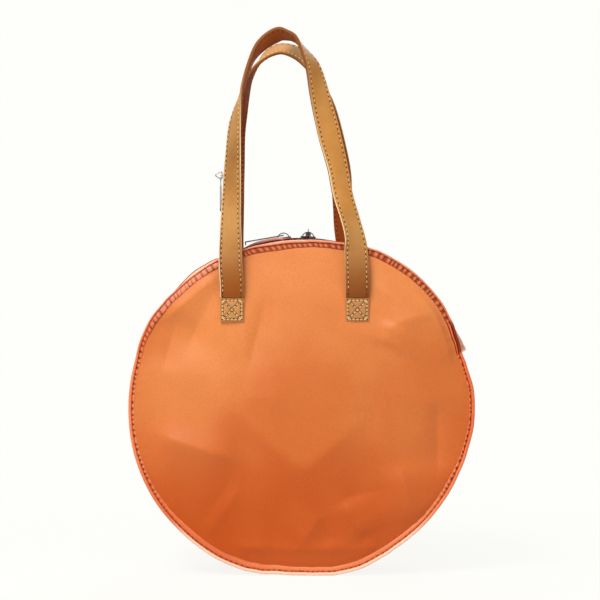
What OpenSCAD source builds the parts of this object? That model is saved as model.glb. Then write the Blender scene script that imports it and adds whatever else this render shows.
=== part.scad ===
// Circle bag: a round padded bag with a zip over the top and two flat carrying straps

/* [Body] */
// Diameter of the bag at the crown of its side band
body_d = 380; // [300:1:440]
// Width of the side band, from seam to seam
body_depth = 80; // [60:1:110]
// How much the side band is flattened where the bag stands
stand_flat = 6; // [4:0.5:8]
// How far each round panel is domed out at its middle
panel_dome = 8; // [4:0.5:12]

/* [Walls] */
// Thickness of the outer skin
skin_t = 2; // [1.2:0.1:2.4]
// Thickness of the foam between the skin and the lining
foam_t = 3; // [2:0.1:4]
// Thickness of the lining
lining_t = 0.8; // [0.5:0.1:1.2]
// Outer diameter of the piping on both rims
piping_d = 6; // [5:0.1:8]
// Thickness of the piping's cover over its cord
piping_cover_t = 0.8; // [0.5:0.1:1.2]

/* [Zip] */
// Angle from the top to each end of the zip bands
zip_band_a = 65.7; // [60:0.1:74]
// Width of the gap between the two zip bands
zip_gap_w = 26; // [24:0.5:32]
// Width of each tape under its band
tape_lap = 7; // [5:0.5:9]
// Thickness of the tape
tape_t = 0.8; // [0.6:0.1:1]
// Width of the closed chain of teeth
chain_w = 5.2; // [4.8:0.1:5.6]
// Height of a tooth
tooth_h = 2.4; // [2.2:0.1:2.6]
// Distance between the teeth of one row
tooth_pitch = 3.2; // [3:0.1:3.6]
// How far a tooth reaches past the middle of the closed chain
tooth_reach = 0.8; // [0.6:0.05:0.9]
// How far each row stands off the middle where the zip is parted
part_w = 3.1; // [2.8:0.1:3.4]
// Angle of the left slider from the top
left_slider_a = -6.3; // [-7:0.1:-5.8]
// Angle of the right slider from the top
right_slider_a = 2.1; // [1.8:0.1:3]
// Length of a tab that covers a zip end, along the band
end_tab_l = 24; // [16:1:32]
// Thickness of a zip end tab
end_tab_t = 1.5; // [1:0.1:2]

/* [Sliders and pulls] */
// Length of a slider
slider_l = 17; // [16:0.1:18]
// Thickness of each plate of a slider
slider_plate_t = 1.4; // [1.2:0.1:1.6]
// Thickness of a slider's side walls
slider_wall_t = 0.9; // [0.7:0.1:1]
// Clearance between a slider and what runs through it
slider_gap = 0.35; // [0.3:0.05:0.4]
// Height of the bridge over the slider's top plate
bridge_h = 5.3; // [5.2:0.1:6]
// Length of the bridge at its foot
bridge_l = 14; // [13:0.1:15]
// Width of the bridge
bridge_w = 2; // [1.6:0.1:2]
// Thickness of the bridge
bridge_t = 1.1; // [1:0.1:1.2]
// Length of a pull from its pivot to its tip
pull_l = 44; // [40:0.5:50]
// Width of a pull's tab
pull_w = 6; // [5:0.1:7]
// Thickness of a pull's tab
pull_t = 1.2; // [1:0.1:1.4]
// Depth of the turned-down tip of a pull
pull_tip_h = 4; // [3:0.1:4.5]

/* [Straps] */
// Width of a strap
strap_w = 26; // [20:0.5:30]
// Thickness of a strap, both layers together
strap_t = 4; // [3:0.1:5]
// Distance between the middles of a handle's two legs
leg_pitch = 137.5; // [120:0.5:150]
// Distance of the legs' middle from the bag's middle, to the left
leg_shift = 8; // [0:0.5:12]
// Height of a handle from its stitched ends to its top
handle_rise = 290; // [200:1:340]
// How far the top of a handle leans in over the bag
handle_lean = 12; // [4:0.5:16]
// Height of the strap's stitched ends above the stand
strap_end_z = 305; // [296:0.5:312]
// Height of a stitched strap end
patch_h = 26; // [20:0.5:30]
// How much a stitched strap end is puffed at its middle
patch_crown = 1; // [0.5:0.1:1.5]

/* [Hanging tag] */
// Diameter of the wire of the tag's ring
ring_wire_d = 1.2; // [1:0.1:1.4]
// Length of each straight side of the three-cornered ring
ring_side = 5; // [4.5:0.1:7]
// Radius of the ring's corners
ring_corner_r = 1.5; // [1.2:0.1:2]
// Length of the tag's bar
tag_l = 29; // [20:0.5:32]
// Width of the tag's bar
tag_w = 7; // [5:0.1:8]
// Thickness of the tag's bar
tag_t = 1.8; // [1.4:0.1:2.2]

/* [Hidden] */
$fn = 96;

// Running clearance between pieces that move against each other
run_gap = 0.4;
// Clearance between the sewn layers, so that no two of them share a face
sewn_gap = 0.02;
// Overrun of a cut past the face that it opens
cut_over = 2;
skin_c = "#dc8046";
strap_c = "#c69152";
under_c = "#82411a";
lining_c = "#5a0f0c";
foam_c = "#e8dcc6";
piping_c = "#e08a50";
metal_c = "#b9b5ae";
thread_c = "#ead2b4";

// The bag's round body
body_r = body_d / 2;
centre_z = body_r - stand_flat;
piping_r = piping_d / 2;
cord_r = piping_r - piping_cover_t;
rim_r = centre_z - piping_r;
half_depth = body_depth / 2;
wall_t = skin_t + foam_t + lining_t;
crown = body_r - rim_r;
// Steps in which half the side band's section and a panel's section are drawn
side_steps = 8;
panel_steps = 14;
side_step = half_depth / side_steps;
panel_step = rim_r / panel_steps;
// The least part of a step that is drawn
step_share = 0.01;

// Rise of a crown at the share s of its half width, straight between its n steps
function crown_share(s, n) =
    let (k = min(floor(abs(s) * n), n - 1), t = abs(s) * n - k)
    1 - pow(k / n, 2) * (1 - t) - pow((k + 1) / n, 2) * t;
// Radius of the side band's surface at the distance y from the bag's middle plane
function side_r(y) = rim_r + crown * crown_share(y / half_depth, side_steps);
// Distance of a panel's surface from the bag's middle plane at the radius r
function panel_y(r) = half_depth + panel_dome * crown_share(r / rim_r, panel_steps);
// Places of the steps between a and b, with both ends
function step_places(a, b, step) = concat(
    [a],
    [for (i = [floor(a / step):ceil(b / step)])
        let (y = i * step) if (min(y - a, b - y) > step_share * step) y],
    [b]
);
function reverse(v) = [for (i = [len(v) - 1:-1:0]) v[i]];
// Outline of a layer of the side band from y0 to y1, between two depths under the surface
function side_layer(y0, y1, d0, d1) = let (ys = step_places(y0, y1, side_step)) concat(
    [for (y = ys) [side_r(y) - d0, y]],
    [for (y = reverse(ys)) [side_r(y) - d1, y]]
);
// Outline of the side band's whole inside at a depth under the surface
function side_core(y1, d) = concat(
    [for (y = step_places(-y1, y1, side_step)) [side_r(y) - d, y]],
    [[0, y1], [0, -y1]]
);
// Outline of a layer of a panel out to the radius r, between two depths under the surface
function panel_layer(r, d0, d1) = let (qs = step_places(0, r, panel_step)) concat(
    [for (q = qs) [q, panel_y(q) - d0]],
    [for (q = reverse(qs)) [q, panel_y(q) - d1]]
);

// Angles round the body, anticlockwise from the right as the front shows it
band_a0 = 90 - zip_band_a;
band_a1 = 90 + zip_band_a;
lower_a = 360 - 2 * zip_band_a;
gap_y = zip_gap_w / 2;
side_y = half_depth - skin_t;
tape_y = gap_y + tape_lap;
chain_y = chain_w / 2;
// Angle covered by a length along the side band
function arc_a(l) = l / body_r * 180 / PI;
end_tab_a = arc_a(end_tab_l);
// Length of a stop along the chain
stop_l = 3;
stop_a = zip_band_a - end_tab_a / 2 - arc_a(stop_l);
teeth_a = stop_a - arc_a(stop_l);
tape_r = body_r - skin_t;
chain_r = tape_r - tape_t / 2;
nose_l = slider_l / 2;
tooth_step = tooth_pitch / chain_r * 180 / PI;
tooth_count = floor(teeth_a / tooth_step);
left_x = chain_r * sin(left_slider_a);
right_x = chain_r * sin(right_slider_a);
slope_x0 = left_x + nose_l;
slope_x1 = right_x - nose_l;
// How far a row stands off the middle at the place x along the zip
function part_at(x) =
    x <= left_x || x >= right_x ? 0
    : x < slope_x0 ? part_w * (x - left_x) / nose_l
    : x > slope_x1 ? part_w * (right_x - x) / nose_l
    : part_w;
// Half widths of a tooth at its root, neck, head and tip, as shares of the pitch
tooth_width_share = [0.36, 0.17, 0.24, 0.15];
// Places of the neck and head between the tooth's root and its tip
tooth_place_share = [0.5, 0.86];

// Slider
slider_top = tooth_h / 2 + slider_gap;
slider_bow = chain_r - sqrt(pow(chain_r, 2) - pow(nose_l, 2));
slider_low = -tooth_h / 2 - slider_gap - slider_bow;
plate_top = slider_top + slider_plate_t;
tail_y = chain_y + slider_gap + slider_wall_t;
nose_y = chain_y + part_w + slider_gap + slider_wall_t;
tape_clear = tape_t / 2 + slider_gap + slider_bow;
// Places along the slider, from its middle, as shares of its length
slider_waist_share = -0.06;
slider_shoulder_share = 0.36;
bridge_r = (pow(bridge_l / 2, 2) + pow(bridge_h, 2)) / (2 * bridge_h);
pivot_z = plate_top + bridge_h - bridge_t / 2;
left_pivot_z = plate_top + (bridge_h - bridge_t) / 2;
eye_wire_r = 0.45;
eye_ring_r = 3.9;
eye_offset = 1.9;
bar_r = 0.7;
arm_gap = 0.5;
arm_w = 1.2;
arm_y = bridge_w / 2 + arm_gap;
tab_start = bridge_l / 2 + 2 * arm_gap;
left_pull_droop = 3.6;
right_pull_droop = 9;

// Straps
strap_half = strap_t / 2;
left_leg_x = -leg_pitch / 2 - leg_shift;
right_leg_x = leg_pitch / 2 - leg_shift;
patch_mid_z = strap_end_z - patch_h / 2;
// Radius of an arch over the span w that rises by the strap end's puff
function arch_r(w) = (pow(w / 2, 2) + pow(patch_crown, 2)) / (2 * patch_crown);
leg_r = sqrt(pow(right_leg_x - strap_w / 2, 2) + pow(strap_end_z - centre_z, 2));
strap_back_y = max(panel_y(leg_r), half_depth + piping_r) + run_gap;
strap_mid_y = strap_back_y + strap_half;
strap_front_y = strap_back_y + strap_t;
hinge_z = strap_end_z + run_gap;
ring_steps = 4;
strap_chamfer_share = 0.3;
// The front handle's route: place across the legs, height, twist in degrees and lean
front_route_share = [
    [0, 0, 0, 0],
    [0, 0.05, 0, 0],
    [-0.008, 0.1, 1, 0],
    [-0.011, 0.15, 8, 0],
    [-0.009, 0.23, 22, 0.03],
    [-0.007, 0.31, 32, 0.1],
    [0.006, 0.47, 44, 0.3],
    [0.019, 0.63, 56, 0.6],
    [0.038, 0.705, 69, 0.75],
    [0.08, 0.792, 90, 0.87],
    [0.145, 0.9, 105, 0.97],
    [0.235, 0.961, 114, 1],
    [0.355, 1, 118, 1],
    [0.43, 1, 108, 1],
    [0.511, 0.982, 90, 1],
    [0.602, 0.919, 66, 0.98],
    [0.65, 0.871, 52, 0.95],
    [0.703, 0.765, 35, 0.85],
    [0.761, 0.652, 21, 0.65],
    [0.784, 0.606, 20, 0.58],
    [0.843, 0.493, 32, 0.35],
    [0.882, 0.391, 35, 0.2],
    [0.936, 0.304, 38, 0.08],
    [0.977, 0.229, 32, 0.03],
    [0.99, 0.17, 8, 0],
    [0.996, 0.11, 1, 0],
    [1, 0.05, 0, 0],
    [1, 0, 0, 0]
];
// The rear handle's route, which hangs a little lower and to the left
rear_route_share = [
    [0, 0, 0, 0],
    [0, 0.05, 0, 0],
    [-0.012, 0.1, 1, 0],
    [-0.022, 0.15, 8, 0],
    [-0.026, 0.23, 20, 0.03],
    [-0.022, 0.31, 24, 0.1],
    [-0.018, 0.4, 26, 0.2],
    [-0.013, 0.485, 29, 0.33],
    [0.013, 0.643, 50, 0.62],
    [0.061, 0.746, 70, 0.8],
    [0.1, 0.836, 80, 0.9],
    [0.129, 0.88, 84, 0.95],
    [0.191, 0.925, 95, 1],
    [0.29, 0.97, 124, 1],
    [0.405, 0.986, 138, 1],
    [0.545, 0.959, 136, 1],
    [0.65, 0.885, 95, 0.97],
    [0.7, 0.83, 66, 0.9],
    [0.765, 0.747, 45, 0.8],
    [0.838, 0.602, 28, 0.55],
    [0.885, 0.488, 28, 0.33],
    [0.901, 0.36, 38, 0.12],
    [0.918, 0.304, 18, 0.06],
    [0.931, 0.25, 0, 0.02],
    [0.95, 0.18, 0, 0],
    [0.975, 0.12, 0, 0],
    [1, 0.05, 0, 0],
    [1, 0, 0, 0]
];
route_n = len(front_route_share) - 1;

// A row of the route r, with one more at each end so that the curve starts and ends straight
function route_row(r, i) =
    i < 0 ? 2 * r[0] - r[1]
    : i > route_n ? 2 * r[route_n] - r[route_n - 1]
    : r[i];
// The smooth curve through four rows, at the share t between the middle two
function route_curve(a, b, c, d, t) =
    0.5 * (2 * b + (c - a) * t + (2 * a - 5 * b + 4 * c - d) * t * t
    + (3 * b - a - 3 * c + d) * t * t * t);
// The route at step k
function route_at(r, k) =
    let (i = min(floor(k / ring_steps), route_n - 1), t = k / ring_steps - i)
    route_curve(route_row(r, i - 1), route_row(r, i), route_row(r, i + 1), route_row(r, i + 2), t);
function strap_point(r, k) = let (p = route_at(r, k)) [
    left_leg_x + leg_pitch * p[0],
    -strap_mid_y + handle_lean * p[3],
    hinge_z + handle_rise * p[1]
];
function unit(v) = v / norm(v);
route_last = route_n * ring_steps;
function strap_run(r, k) =
    unit(strap_point(r, min(k + 1, route_last)) - strap_point(r, max(k - 1, 0)));
// Direction across the strap at step k, turned by its twist
function strap_across(r, k) =
    let (t = strap_run(r, k), a = route_at(r, k)[2], n = unit([-t[2], 0, t[0]]))
    unit(n * cos(a) + [0, sin(a), 0] - t * (t * [0, sin(a), 0]));
// One cross-section of a strap layer, from the thickness n0 to n1, chamfered at n1
function strap_section(r, k, n0, n1) =
    let (
        p = strap_point(r, k), w = strap_across(r, k), n = cross(strap_run(r, k), w),
        c = strap_chamfer_share * (n1 - n0), h = strap_w / 2
    )
    [for (q = [[-h, n0], [h, n0], [h, n1 - c], [h - abs(c), n1], [abs(c) - h, n1], [-h, n1 - c]])
        p + w * q[0] + n * q[1]];
function flip(face, turned) = turned ? [face[2], face[1], face[0]] : face;

// Hanging tag
ring_wire_r = ring_wire_d / 2;
// The wire swells a little at its bends, which take up the ends of the straight sides
bend_swell_share = 1.03;
wire_seat = 0.1;
loop_wire_r = 0.5;
loop_r = 2;
loop_sink = 0.6;
// Place of the thread loop along the rear strap's left leg, in steps of the route
loop_step = 28;
loop_edge = strap_point(rear_route_share, loop_step)
    + strap_across(rear_route_share, loop_step) * strap_w / 2;
loop_at = [loop_edge[0] - loop_r - loop_wire_r + loop_sink, -loop_edge[1], loop_edge[2]];
ring_mid_x = loop_at[0] - ring_corner_r - ring_side * tan(30) / 2;
ring_low = [loop_at[0] - ring_corner_r, loop_at[1], loop_at[2] - ring_side / 2 - ring_corner_r];
tag_eye_r = 2;
tag_eye_wire_r = 0.6;
tag_eye_drop = 0.5;
tag_neck_w = 2;
tag_neck_l = 6;

// Turns what is drawn round Z to stand round the bag's depth, with y to the back
module round_body() translate([0, 0, centre_z]) rotate([90, 0, 0]) mirror([0, 0, 1]) children();
// Places children at an angle from the top, at the chain, with x along the zip and z outwards
module at_chain(a) translate([0, 0, centre_z]) rotate([0, a, 0]) translate([0, 0, chain_r]) children();
module behind() mirror([0, 1, 0]) children();

module rim_ring(r) round_body() rotate_extrude() translate([rim_r, -half_depth]) circle(r = r);
module piping_cover() difference() {
    rim_ring(piping_r);
    rim_ring(cord_r);
}
module front_piping() color(piping_c) piping_cover();
module back_piping() color(piping_c) behind() piping_cover();
module front_piping_cord() color(foam_c) rim_ring(cord_r);
module back_piping_cord() color(foam_c) behind() rim_ring(cord_r);

module panel_disc(r, d0, d1) round_body() mirror([0, 0, 1]) rotate_extrude()
    polygon(panel_layer(r, d0, d1));
module panel_skin() difference() {
    panel_disc(rim_r, 0, skin_t);
    rim_ring(piping_r + sewn_gap);
}
module panel_foam() panel_disc(rim_r - wall_t, skin_t + sewn_gap, skin_t + foam_t);
module panel_lining() panel_disc(rim_r - wall_t, skin_t + foam_t + sewn_gap, wall_t);
module front_panel() color(skin_c) panel_skin();
module front_foam() color(foam_c) panel_foam();
module front_lining() color(lining_c) panel_lining();
module back_panel() color(skin_c) behind() panel_skin();
module back_foam() color(foam_c) behind() panel_foam();
module back_lining() color(lining_c) behind() panel_lining();

// What lies inside the side band at a depth, flat at the bottom at the same depth
module band_inside(d, y, turn, from) intersection() {
    round_body() rotate_extrude(angle = turn, start = from) polygon(side_core(y, d));
    translate([-body_r, -half_depth, d]) cube([body_d, body_depth, body_d]);
}
module lower_shell(d0, d1) difference() {
    band_inside(d0, side_y, lower_a, band_a1);
    band_inside(d1, half_depth, 360, 0);
    rim_ring(piping_r + sewn_gap);
    behind() rim_ring(piping_r + sewn_gap);
}
// A strip of the zip band on the front side, between two widths and two depths
module zip_strip(y0, y1, d0, d1) difference() {
    round_body() rotate_extrude(angle = 2 * zip_band_a, start = band_a0)
        polygon(side_layer(-y1, -y0, d0, d1));
    rim_ring(piping_r + sewn_gap);
}
module zip_skin() zip_strip(gap_y, side_y, 0, skin_t);
module zip_foam() zip_strip(tape_y, side_y, skin_t + sewn_gap, skin_t + foam_t);
module zip_lining() zip_strip(gap_y, side_y, skin_t + foam_t + sewn_gap, wall_t);
module lower_gusset() color(skin_c) lower_shell(0, skin_t);
module lower_foam() color(foam_c) lower_shell(skin_t + sewn_gap, skin_t + foam_t);
module lower_lining() color(lining_c) lower_shell(skin_t + foam_t + sewn_gap, wall_t);
module zip_gusset_front() color(skin_c) zip_skin();
module zip_foam_front() color(foam_c) zip_foam();
module zip_lining_front() color(lining_c) zip_lining();
module zip_gusset_rear() color(skin_c) behind() zip_skin();
module zip_foam_rear() color(foam_c) behind() zip_foam();
module zip_lining_rear() color(lining_c) behind() zip_lining();

// The tape's edge is drawn back where the two sliders part the zip, clear of the teeth's roots
module parted_edge() {
    root = tooth_width_share[0] * tooth_pitch;
    translate([0, 0, centre_z]) linear_extrude(body_d) polygon([
        [left_x - root, cut_over - chain_y], [left_x - root, -chain_y],
        [slope_x0 - root, -chain_y - part_w], [slope_x1 + root, -chain_y - part_w],
        [right_x + root, -chain_y], [right_x + root, cut_over - chain_y]
    ]);
}
module tape() difference() {
    round_body() rotate_extrude(angle = 2 * zip_band_a, start = band_a0)
        polygon(side_layer(-tape_y, -chain_y, skin_t, skin_t + tape_t));
    parted_edge();
}
module zip_tape_front() color(lining_c) tape();
module zip_tape_rear() color(lining_c) behind() tape();

// One tooth of the front row, from its root at the tape to its tip past the middle
module tooth() translate([0, 0, -tooth_h / 2]) linear_extrude(tooth_h) polygon([
    for (s = [-1, 1], i = [0:3])
        let (
            j = s < 0 ? i : 3 - i,
            place = j == 0 ? 0 : j == 3 ? 1 : tooth_place_share[j - 1]
        )
        [s * tooth_width_share[j] * tooth_pitch, -chain_y + (chain_y + tooth_reach) * place]
]);
// A row of teeth, moved half a pitch along for the other row
module tooth_row(shift) for (i = [-tooth_count:tooth_count - 1])
    let (a = (i + shift) * tooth_step)
    at_chain(a) translate([0, -part_at(chain_r * sin(a)), 0]) tooth();
module zip_teeth_front() color(metal_c) tooth_row(0.25);
module zip_teeth_rear() color(metal_c) behind() tooth_row(0.75);

module zip_stops() color(metal_c) for (s = [-1, 1]) at_chain(s * stop_a)
    translate([-stop_l / 2, -chain_y, -tooth_h / 2]) cube([stop_l, chain_w, tooth_h]);
module end_tab() rotate_extrude(angle = end_tab_a, start = band_a0 - end_tab_a / 2)
    polygon(side_layer(-side_y, side_y, -end_tab_t, -sewn_gap));
module zip_end_tabs() color(skin_c) difference() {
    round_body() {
        end_tab();
        mirror([1, 0, 0]) end_tab();
    }
    rim_ring(piping_r + sewn_gap);
    behind() rim_ring(piping_r + sewn_gap);
}

// Slider: two plates joined by a wedge at the nose, walls at the sides, a bridge on top
function slider_half() = [
    [-slider_l / 2, tail_y], [slider_waist_share * slider_l, tail_y],
    [slider_shoulder_share * slider_l, nose_y], [slider_l / 2, nose_y]
];
module slider_outline(inset) polygon(concat(
    [for (p = slider_half()) [p[0], p[1] - inset]],
    [for (i = [3:-1:0]) [slider_half()[i][0], inset - slider_half()[i][1]]]
));
module slider_rim() difference() {
    slider_outline(0);
    slider_outline(slider_wall_t);
}
module slider_wedge() {
    slope = part_w / nose_l;
    x0 = (tooth_reach + 2 * slider_gap) / slope;
    x1 = slider_l / 2 - slider_gap;
    y0 = slope * x0 - tooth_reach - slider_gap;
    y1 = slope * x1 - tooth_reach - slider_gap;
    polygon([[x0, -y0], [x1, -y1], [x1, y1], [x0, y0]]);
}
module slider_bridge() translate([0, bridge_w / 2, plate_top]) rotate([90, 0, 0])
    linear_extrude(bridge_w) intersection() {
        translate([0, bridge_h - bridge_r]) difference() {
            circle(r = bridge_r);
            circle(r = bridge_r - bridge_t);
        }
        translate([-bridge_l, -slider_plate_t / 2]) square([2 * bridge_l, 2 * bridge_h]);
    }
module slider() {
    translate([0, 0, slider_top]) linear_extrude(slider_plate_t) slider_outline(0);
    translate([0, 0, slider_low - slider_plate_t]) linear_extrude(slider_plate_t) slider_outline(0);
    translate([0, 0, tape_clear]) linear_extrude(slider_top - tape_clear) slider_rim();
    translate([0, 0, slider_low]) linear_extrude(-tape_clear - slider_low) slider_rim();
    translate([0, 0, slider_low]) linear_extrude(slider_top - slider_low) slider_wedge();
    slider_bridge();
}
module left_slider() color(metal_c) at_chain(left_slider_a) slider();
module right_slider() color(metal_c) at_chain(right_slider_a) mirror([1, 0, 0]) slider();

// A pull's tab from the distance x0 to its turned-down tip, drawn along x
module pull_tab(x0) translate([0, pull_w / 2, 0]) rotate([90, 0, 0]) linear_extrude(pull_w) {
    translate([x0, -pull_t / 2]) square([pull_l - pull_t - x0, pull_t]);
    translate([pull_l - pull_t, -pull_t / 2]) intersection() {
        circle(r = pull_t);
        square(pull_t);
    }
    translate([pull_l - pull_t, pull_t / 2 - pull_tip_h]) square([pull_t, pull_tip_h - pull_t / 2]);
}
module pull_arms() {
    rotate([90, 0, 0]) cylinder(h = 2 * (arm_y + arm_w), r = bar_r, center = true);
    for (s = [-1, 1]) translate([tab_start / 2, s * (arm_y + arm_w / 2), 0])
        cube([tab_start + pull_t, arm_w, pull_t], center = true);
}
module left_pull() color(metal_c) at_chain(left_slider_a) translate([0, 0, left_pivot_z])
    rotate([0, -left_pull_droop, 0]) mirror([1, 0, 0]) {
        pull_arms();
        pull_tab(tab_start);
    }
module pull_eye() translate([eye_offset, 0, 0]) rotate([90, 0, 0]) rotate_extrude()
    translate([eye_ring_r, 0]) circle(r = eye_wire_r, $fn = 24);
module right_pull() color(metal_c) at_chain(right_slider_a) translate([0, 0, pivot_z])
    rotate([-right_pull_droop, 0, 0]) rotate([0, 0, 90]) {
        pull_eye();
        pull_tab(eye_offset + eye_ring_r - eye_wire_r);
    }

// Stitched strap ends, seated on the domed panel
module strap_end(x) difference() {
    translate([x, -strap_front_y, patch_mid_z]) intersection() {
        translate([-strap_w / 2, 0, -patch_h / 2])
            cube([strap_w, strap_front_y - side_y, patch_h]);
        translate([0, arch_r(strap_w), 0])
            cylinder(h = patch_h, r = arch_r(strap_w), center = true, $fn = 1440);
        translate([0, arch_r(patch_h), 0]) rotate([0, 90, 0])
            cylinder(h = strap_w, r = arch_r(patch_h), center = true, $fn = 1440);
    }
    panel_disc(rim_r, 0, panel_dome + wall_t);
}
module strap_ends() {
    strap_end(left_leg_x);
    strap_end(right_leg_x);
}
module front_strap_ends() color(strap_c) strap_ends();
module rear_strap_ends() color(strap_c) behind() strap_ends();

// A strap layer swept along a handle's route
module strap_layer(r, n0, n1) {
    m = 6;
    points = [for (k = [0:route_last]) each strap_section(r, k, n0, n1)];
    turned = n1 > n0;
    sides = [for (k = [0:route_last - 1], j = [0:m - 1])
        let (a = k * m + j, b = k * m + (j + 1) % m)
        each [flip([a, b, b + m], turned), flip([a, b + m, a + m], turned)]];
    last = route_last * m;
    caps = [for (j = [1:m - 2])
        each [flip([0, j + 1, j], turned), flip([last, last + j, last + j + 1], turned)]];
    polyhedron(points = points, faces = concat(sides, caps));
}
module front_handle() color(strap_c) strap_layer(front_route_share, 0, strap_half);
module front_handle_underside() color(under_c) strap_layer(front_route_share, 0, -strap_half);
module rear_handle() color(strap_c) behind() strap_layer(rear_route_share, 0, strap_half);
module rear_handle_underside() color(under_c) behind()
    strap_layer(rear_route_share, 0, -strap_half);

// Thread loop sewn into the edge of the rear strap
module hang_loop() color(thread_c) translate(loop_at) rotate_extrude()
    translate([loop_r, 0]) circle(r = loop_wire_r, $fn = 24);
// Three-cornered wire ring that hangs in the thread loop
module hang_ring() color(metal_c) translate([ring_mid_x, loop_at[1], loop_at[2]])
    rotate([90, 0, 0]) for (k = [0:2]) rotate([0, 0, 120 * k])
        translate([ring_side * tan(30) / 2, ring_side / 2, 0]) {
            rotate_extrude(angle = 120) translate([ring_corner_r, 0])
                circle(r = ring_wire_r * bend_swell_share);
            rotate([0, 0, 120]) translate([ring_corner_r, -wire_seat, 0]) rotate([-90, 0, 0])
                cylinder(h = ring_side + 2 * wire_seat, r = ring_wire_r);
        }
// Flat bar on an eye that hangs from the ring's lowest corner
module hang_tag() color(metal_c) translate(ring_low - [0, 0, tag_eye_drop]) {
    rotate([0, 90, 0]) rotate_extrude() translate([tag_eye_r, 0]) circle(r = tag_eye_wire_r);
    translate([-tag_eye_wire_r, -tag_neck_w / 2, -tag_eye_r - tag_neck_l])
        cube([2 * tag_eye_wire_r, tag_neck_w, tag_neck_l]);
    translate([-tag_t / 2, 0, -tag_eye_r - tag_neck_l]) rotate([0, 90, 0]) linear_extrude(tag_t) {
        translate([0, -tag_w / 2]) square([tag_l - tag_w / 2, tag_w]);
        translate([tag_l - tag_w / 2, 0]) circle(d = tag_w);
    }
}

front_panel();
front_foam();
front_lining();
back_panel();
back_foam();
back_lining();
lower_gusset();
lower_foam();
lower_lining();
zip_gusset_front();
zip_foam_front();
zip_lining_front();
zip_gusset_rear();
zip_foam_rear();
zip_lining_rear();
zip_tape_front();
zip_tape_rear();
zip_teeth_front();
zip_teeth_rear();
zip_stops();
zip_end_tabs();
front_piping();
back_piping();
front_piping_cord();
back_piping_cord();
front_strap_ends();
rear_strap_ends();
front_handle();
front_handle_underside();
rear_handle();
rear_handle_underside();
hang_loop();
left_slider();
left_pull();
right_slider();
right_pull();
hang_ring();
hang_tag();
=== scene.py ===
# Circle bag: the looks of a round padded bag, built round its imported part
import math

import bpy
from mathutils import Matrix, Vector, noise


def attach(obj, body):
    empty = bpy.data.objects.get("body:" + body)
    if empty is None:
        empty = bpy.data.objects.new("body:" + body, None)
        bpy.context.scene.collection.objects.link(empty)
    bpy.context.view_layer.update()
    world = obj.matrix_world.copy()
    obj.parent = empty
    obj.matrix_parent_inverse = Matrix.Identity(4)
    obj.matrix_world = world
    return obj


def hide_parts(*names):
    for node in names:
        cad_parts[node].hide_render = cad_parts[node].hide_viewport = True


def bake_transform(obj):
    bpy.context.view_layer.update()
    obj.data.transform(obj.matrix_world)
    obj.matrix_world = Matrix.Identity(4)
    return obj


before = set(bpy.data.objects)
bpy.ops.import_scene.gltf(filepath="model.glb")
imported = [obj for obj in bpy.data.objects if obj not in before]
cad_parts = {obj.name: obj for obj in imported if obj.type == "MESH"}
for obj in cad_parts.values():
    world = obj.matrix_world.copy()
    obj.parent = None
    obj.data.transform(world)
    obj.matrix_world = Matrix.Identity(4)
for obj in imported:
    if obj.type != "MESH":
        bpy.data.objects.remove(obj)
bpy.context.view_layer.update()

MM = 0.001
# The part's own sizes: the round body and its layers
CENTRE_Z = 184 * MM
HALF_DEPTH = 40 * MM
DOME = 8 * MM
CROWN_R = 190 * MM
SKIN_T = 2 * MM
FOAM_T = 3 * MM
# The zip: where it ends, in degrees from the top, and its chain, opening and tapes
ZIP_END_A = 65.7
CHAIN_R = 187.6 * MM
CHAIN_EDGE_Y = 2.6 * MM
ZIP_EDGE_Y = 13 * MM
TAPE_LAP_Y = 20 * MM
TAPE_T = 0.8 * MM
# The straps' legs
LEFT_LEG_X, RIGHT_LEG_X = -76.75 * MM, 60.75 * MM
# Shown thickness of each layer, a little less than its room
SKIN_SHOWN = 1.9 * MM
FOAM_SHOWN = 2.9 * MM
LINING_SHOWN = 0.7 * MM
COVER_T = 0.7 * MM
# Half the side band's width, how far in from a rim's outer edge its seam lies, and gathers round a rim
BAND_Y = 38.6 * MM
SEAM_IN = 3 * MM
GATHERS = 188
# Points of a grid's closed edge closer than this are joined, and those in the middle of a panel too
SAME_POINT = 0.02 * MM
SAME_MIDDLE = 0.05 * MM


# Helpers
def smooth(a, b, x):
    """0 before a, 1 after b and a soft step between them."""
    t = min(max((x - a) / (b - a), 0.0), 1.0)
    return t * t * (3 - 2 * t)


def bell(x, width):
    """1 in the middle, falling off on both sides over about the width."""
    return math.exp(-((x / width) ** 2))


def mix(a, b, t):
    return a + (b - a) * t


def round_table(rows):
    """Rows of (degrees from the top, millimetres) made into values for every half degree."""
    rows = sorted(rows)
    closed = [(rows[-1][0] - 360, rows[-1][1])] + rows + [(rows[0][0] + 360, rows[0][1])]
    values = []
    for i in range(721):
        a = -180 + i / 2
        k = max(j for j in range(len(closed) - 1) if closed[j][0] <= a)
        (a0, v0), (a1, v1) = closed[k], closed[k + 1]
        t = (a - a0) / (a1 - a0)
        values.append(mix(v0, v1, t * t * (3 - 2 * t)) * MM)
    return values


def at_angle(values, a):
    """A round table's value at the angle a."""
    x = ((a + 180) % 360) * 2
    i = int(x)
    return mix(values[i], values[i + 1], x - i)


def on_body(a, r, y, lowest=0.0):
    """A point at the angle a from the top, in degrees, at the radius r and the depth y."""
    t = math.radians(a)
    return Vector((r * math.sin(t), y, max(CENTRE_Z + r * math.cos(t), lowest)))


def crinkle(point, scale, seed=0.0):
    """A soft uneven value round 0, the same at the same point each time."""
    return noise.noise(Vector(point) * scale + Vector((seed, seed * 2.3, -seed)))


def alone(piece):
    """Selects one piece and nothing else."""
    if bpy.context.object and bpy.context.object.mode != "OBJECT":
        bpy.ops.object.mode_set(mode="OBJECT")
    bpy.ops.object.select_all(action="DESELECT")
    piece.select_set(True)
    bpy.context.view_layer.objects.active = piece


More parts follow.
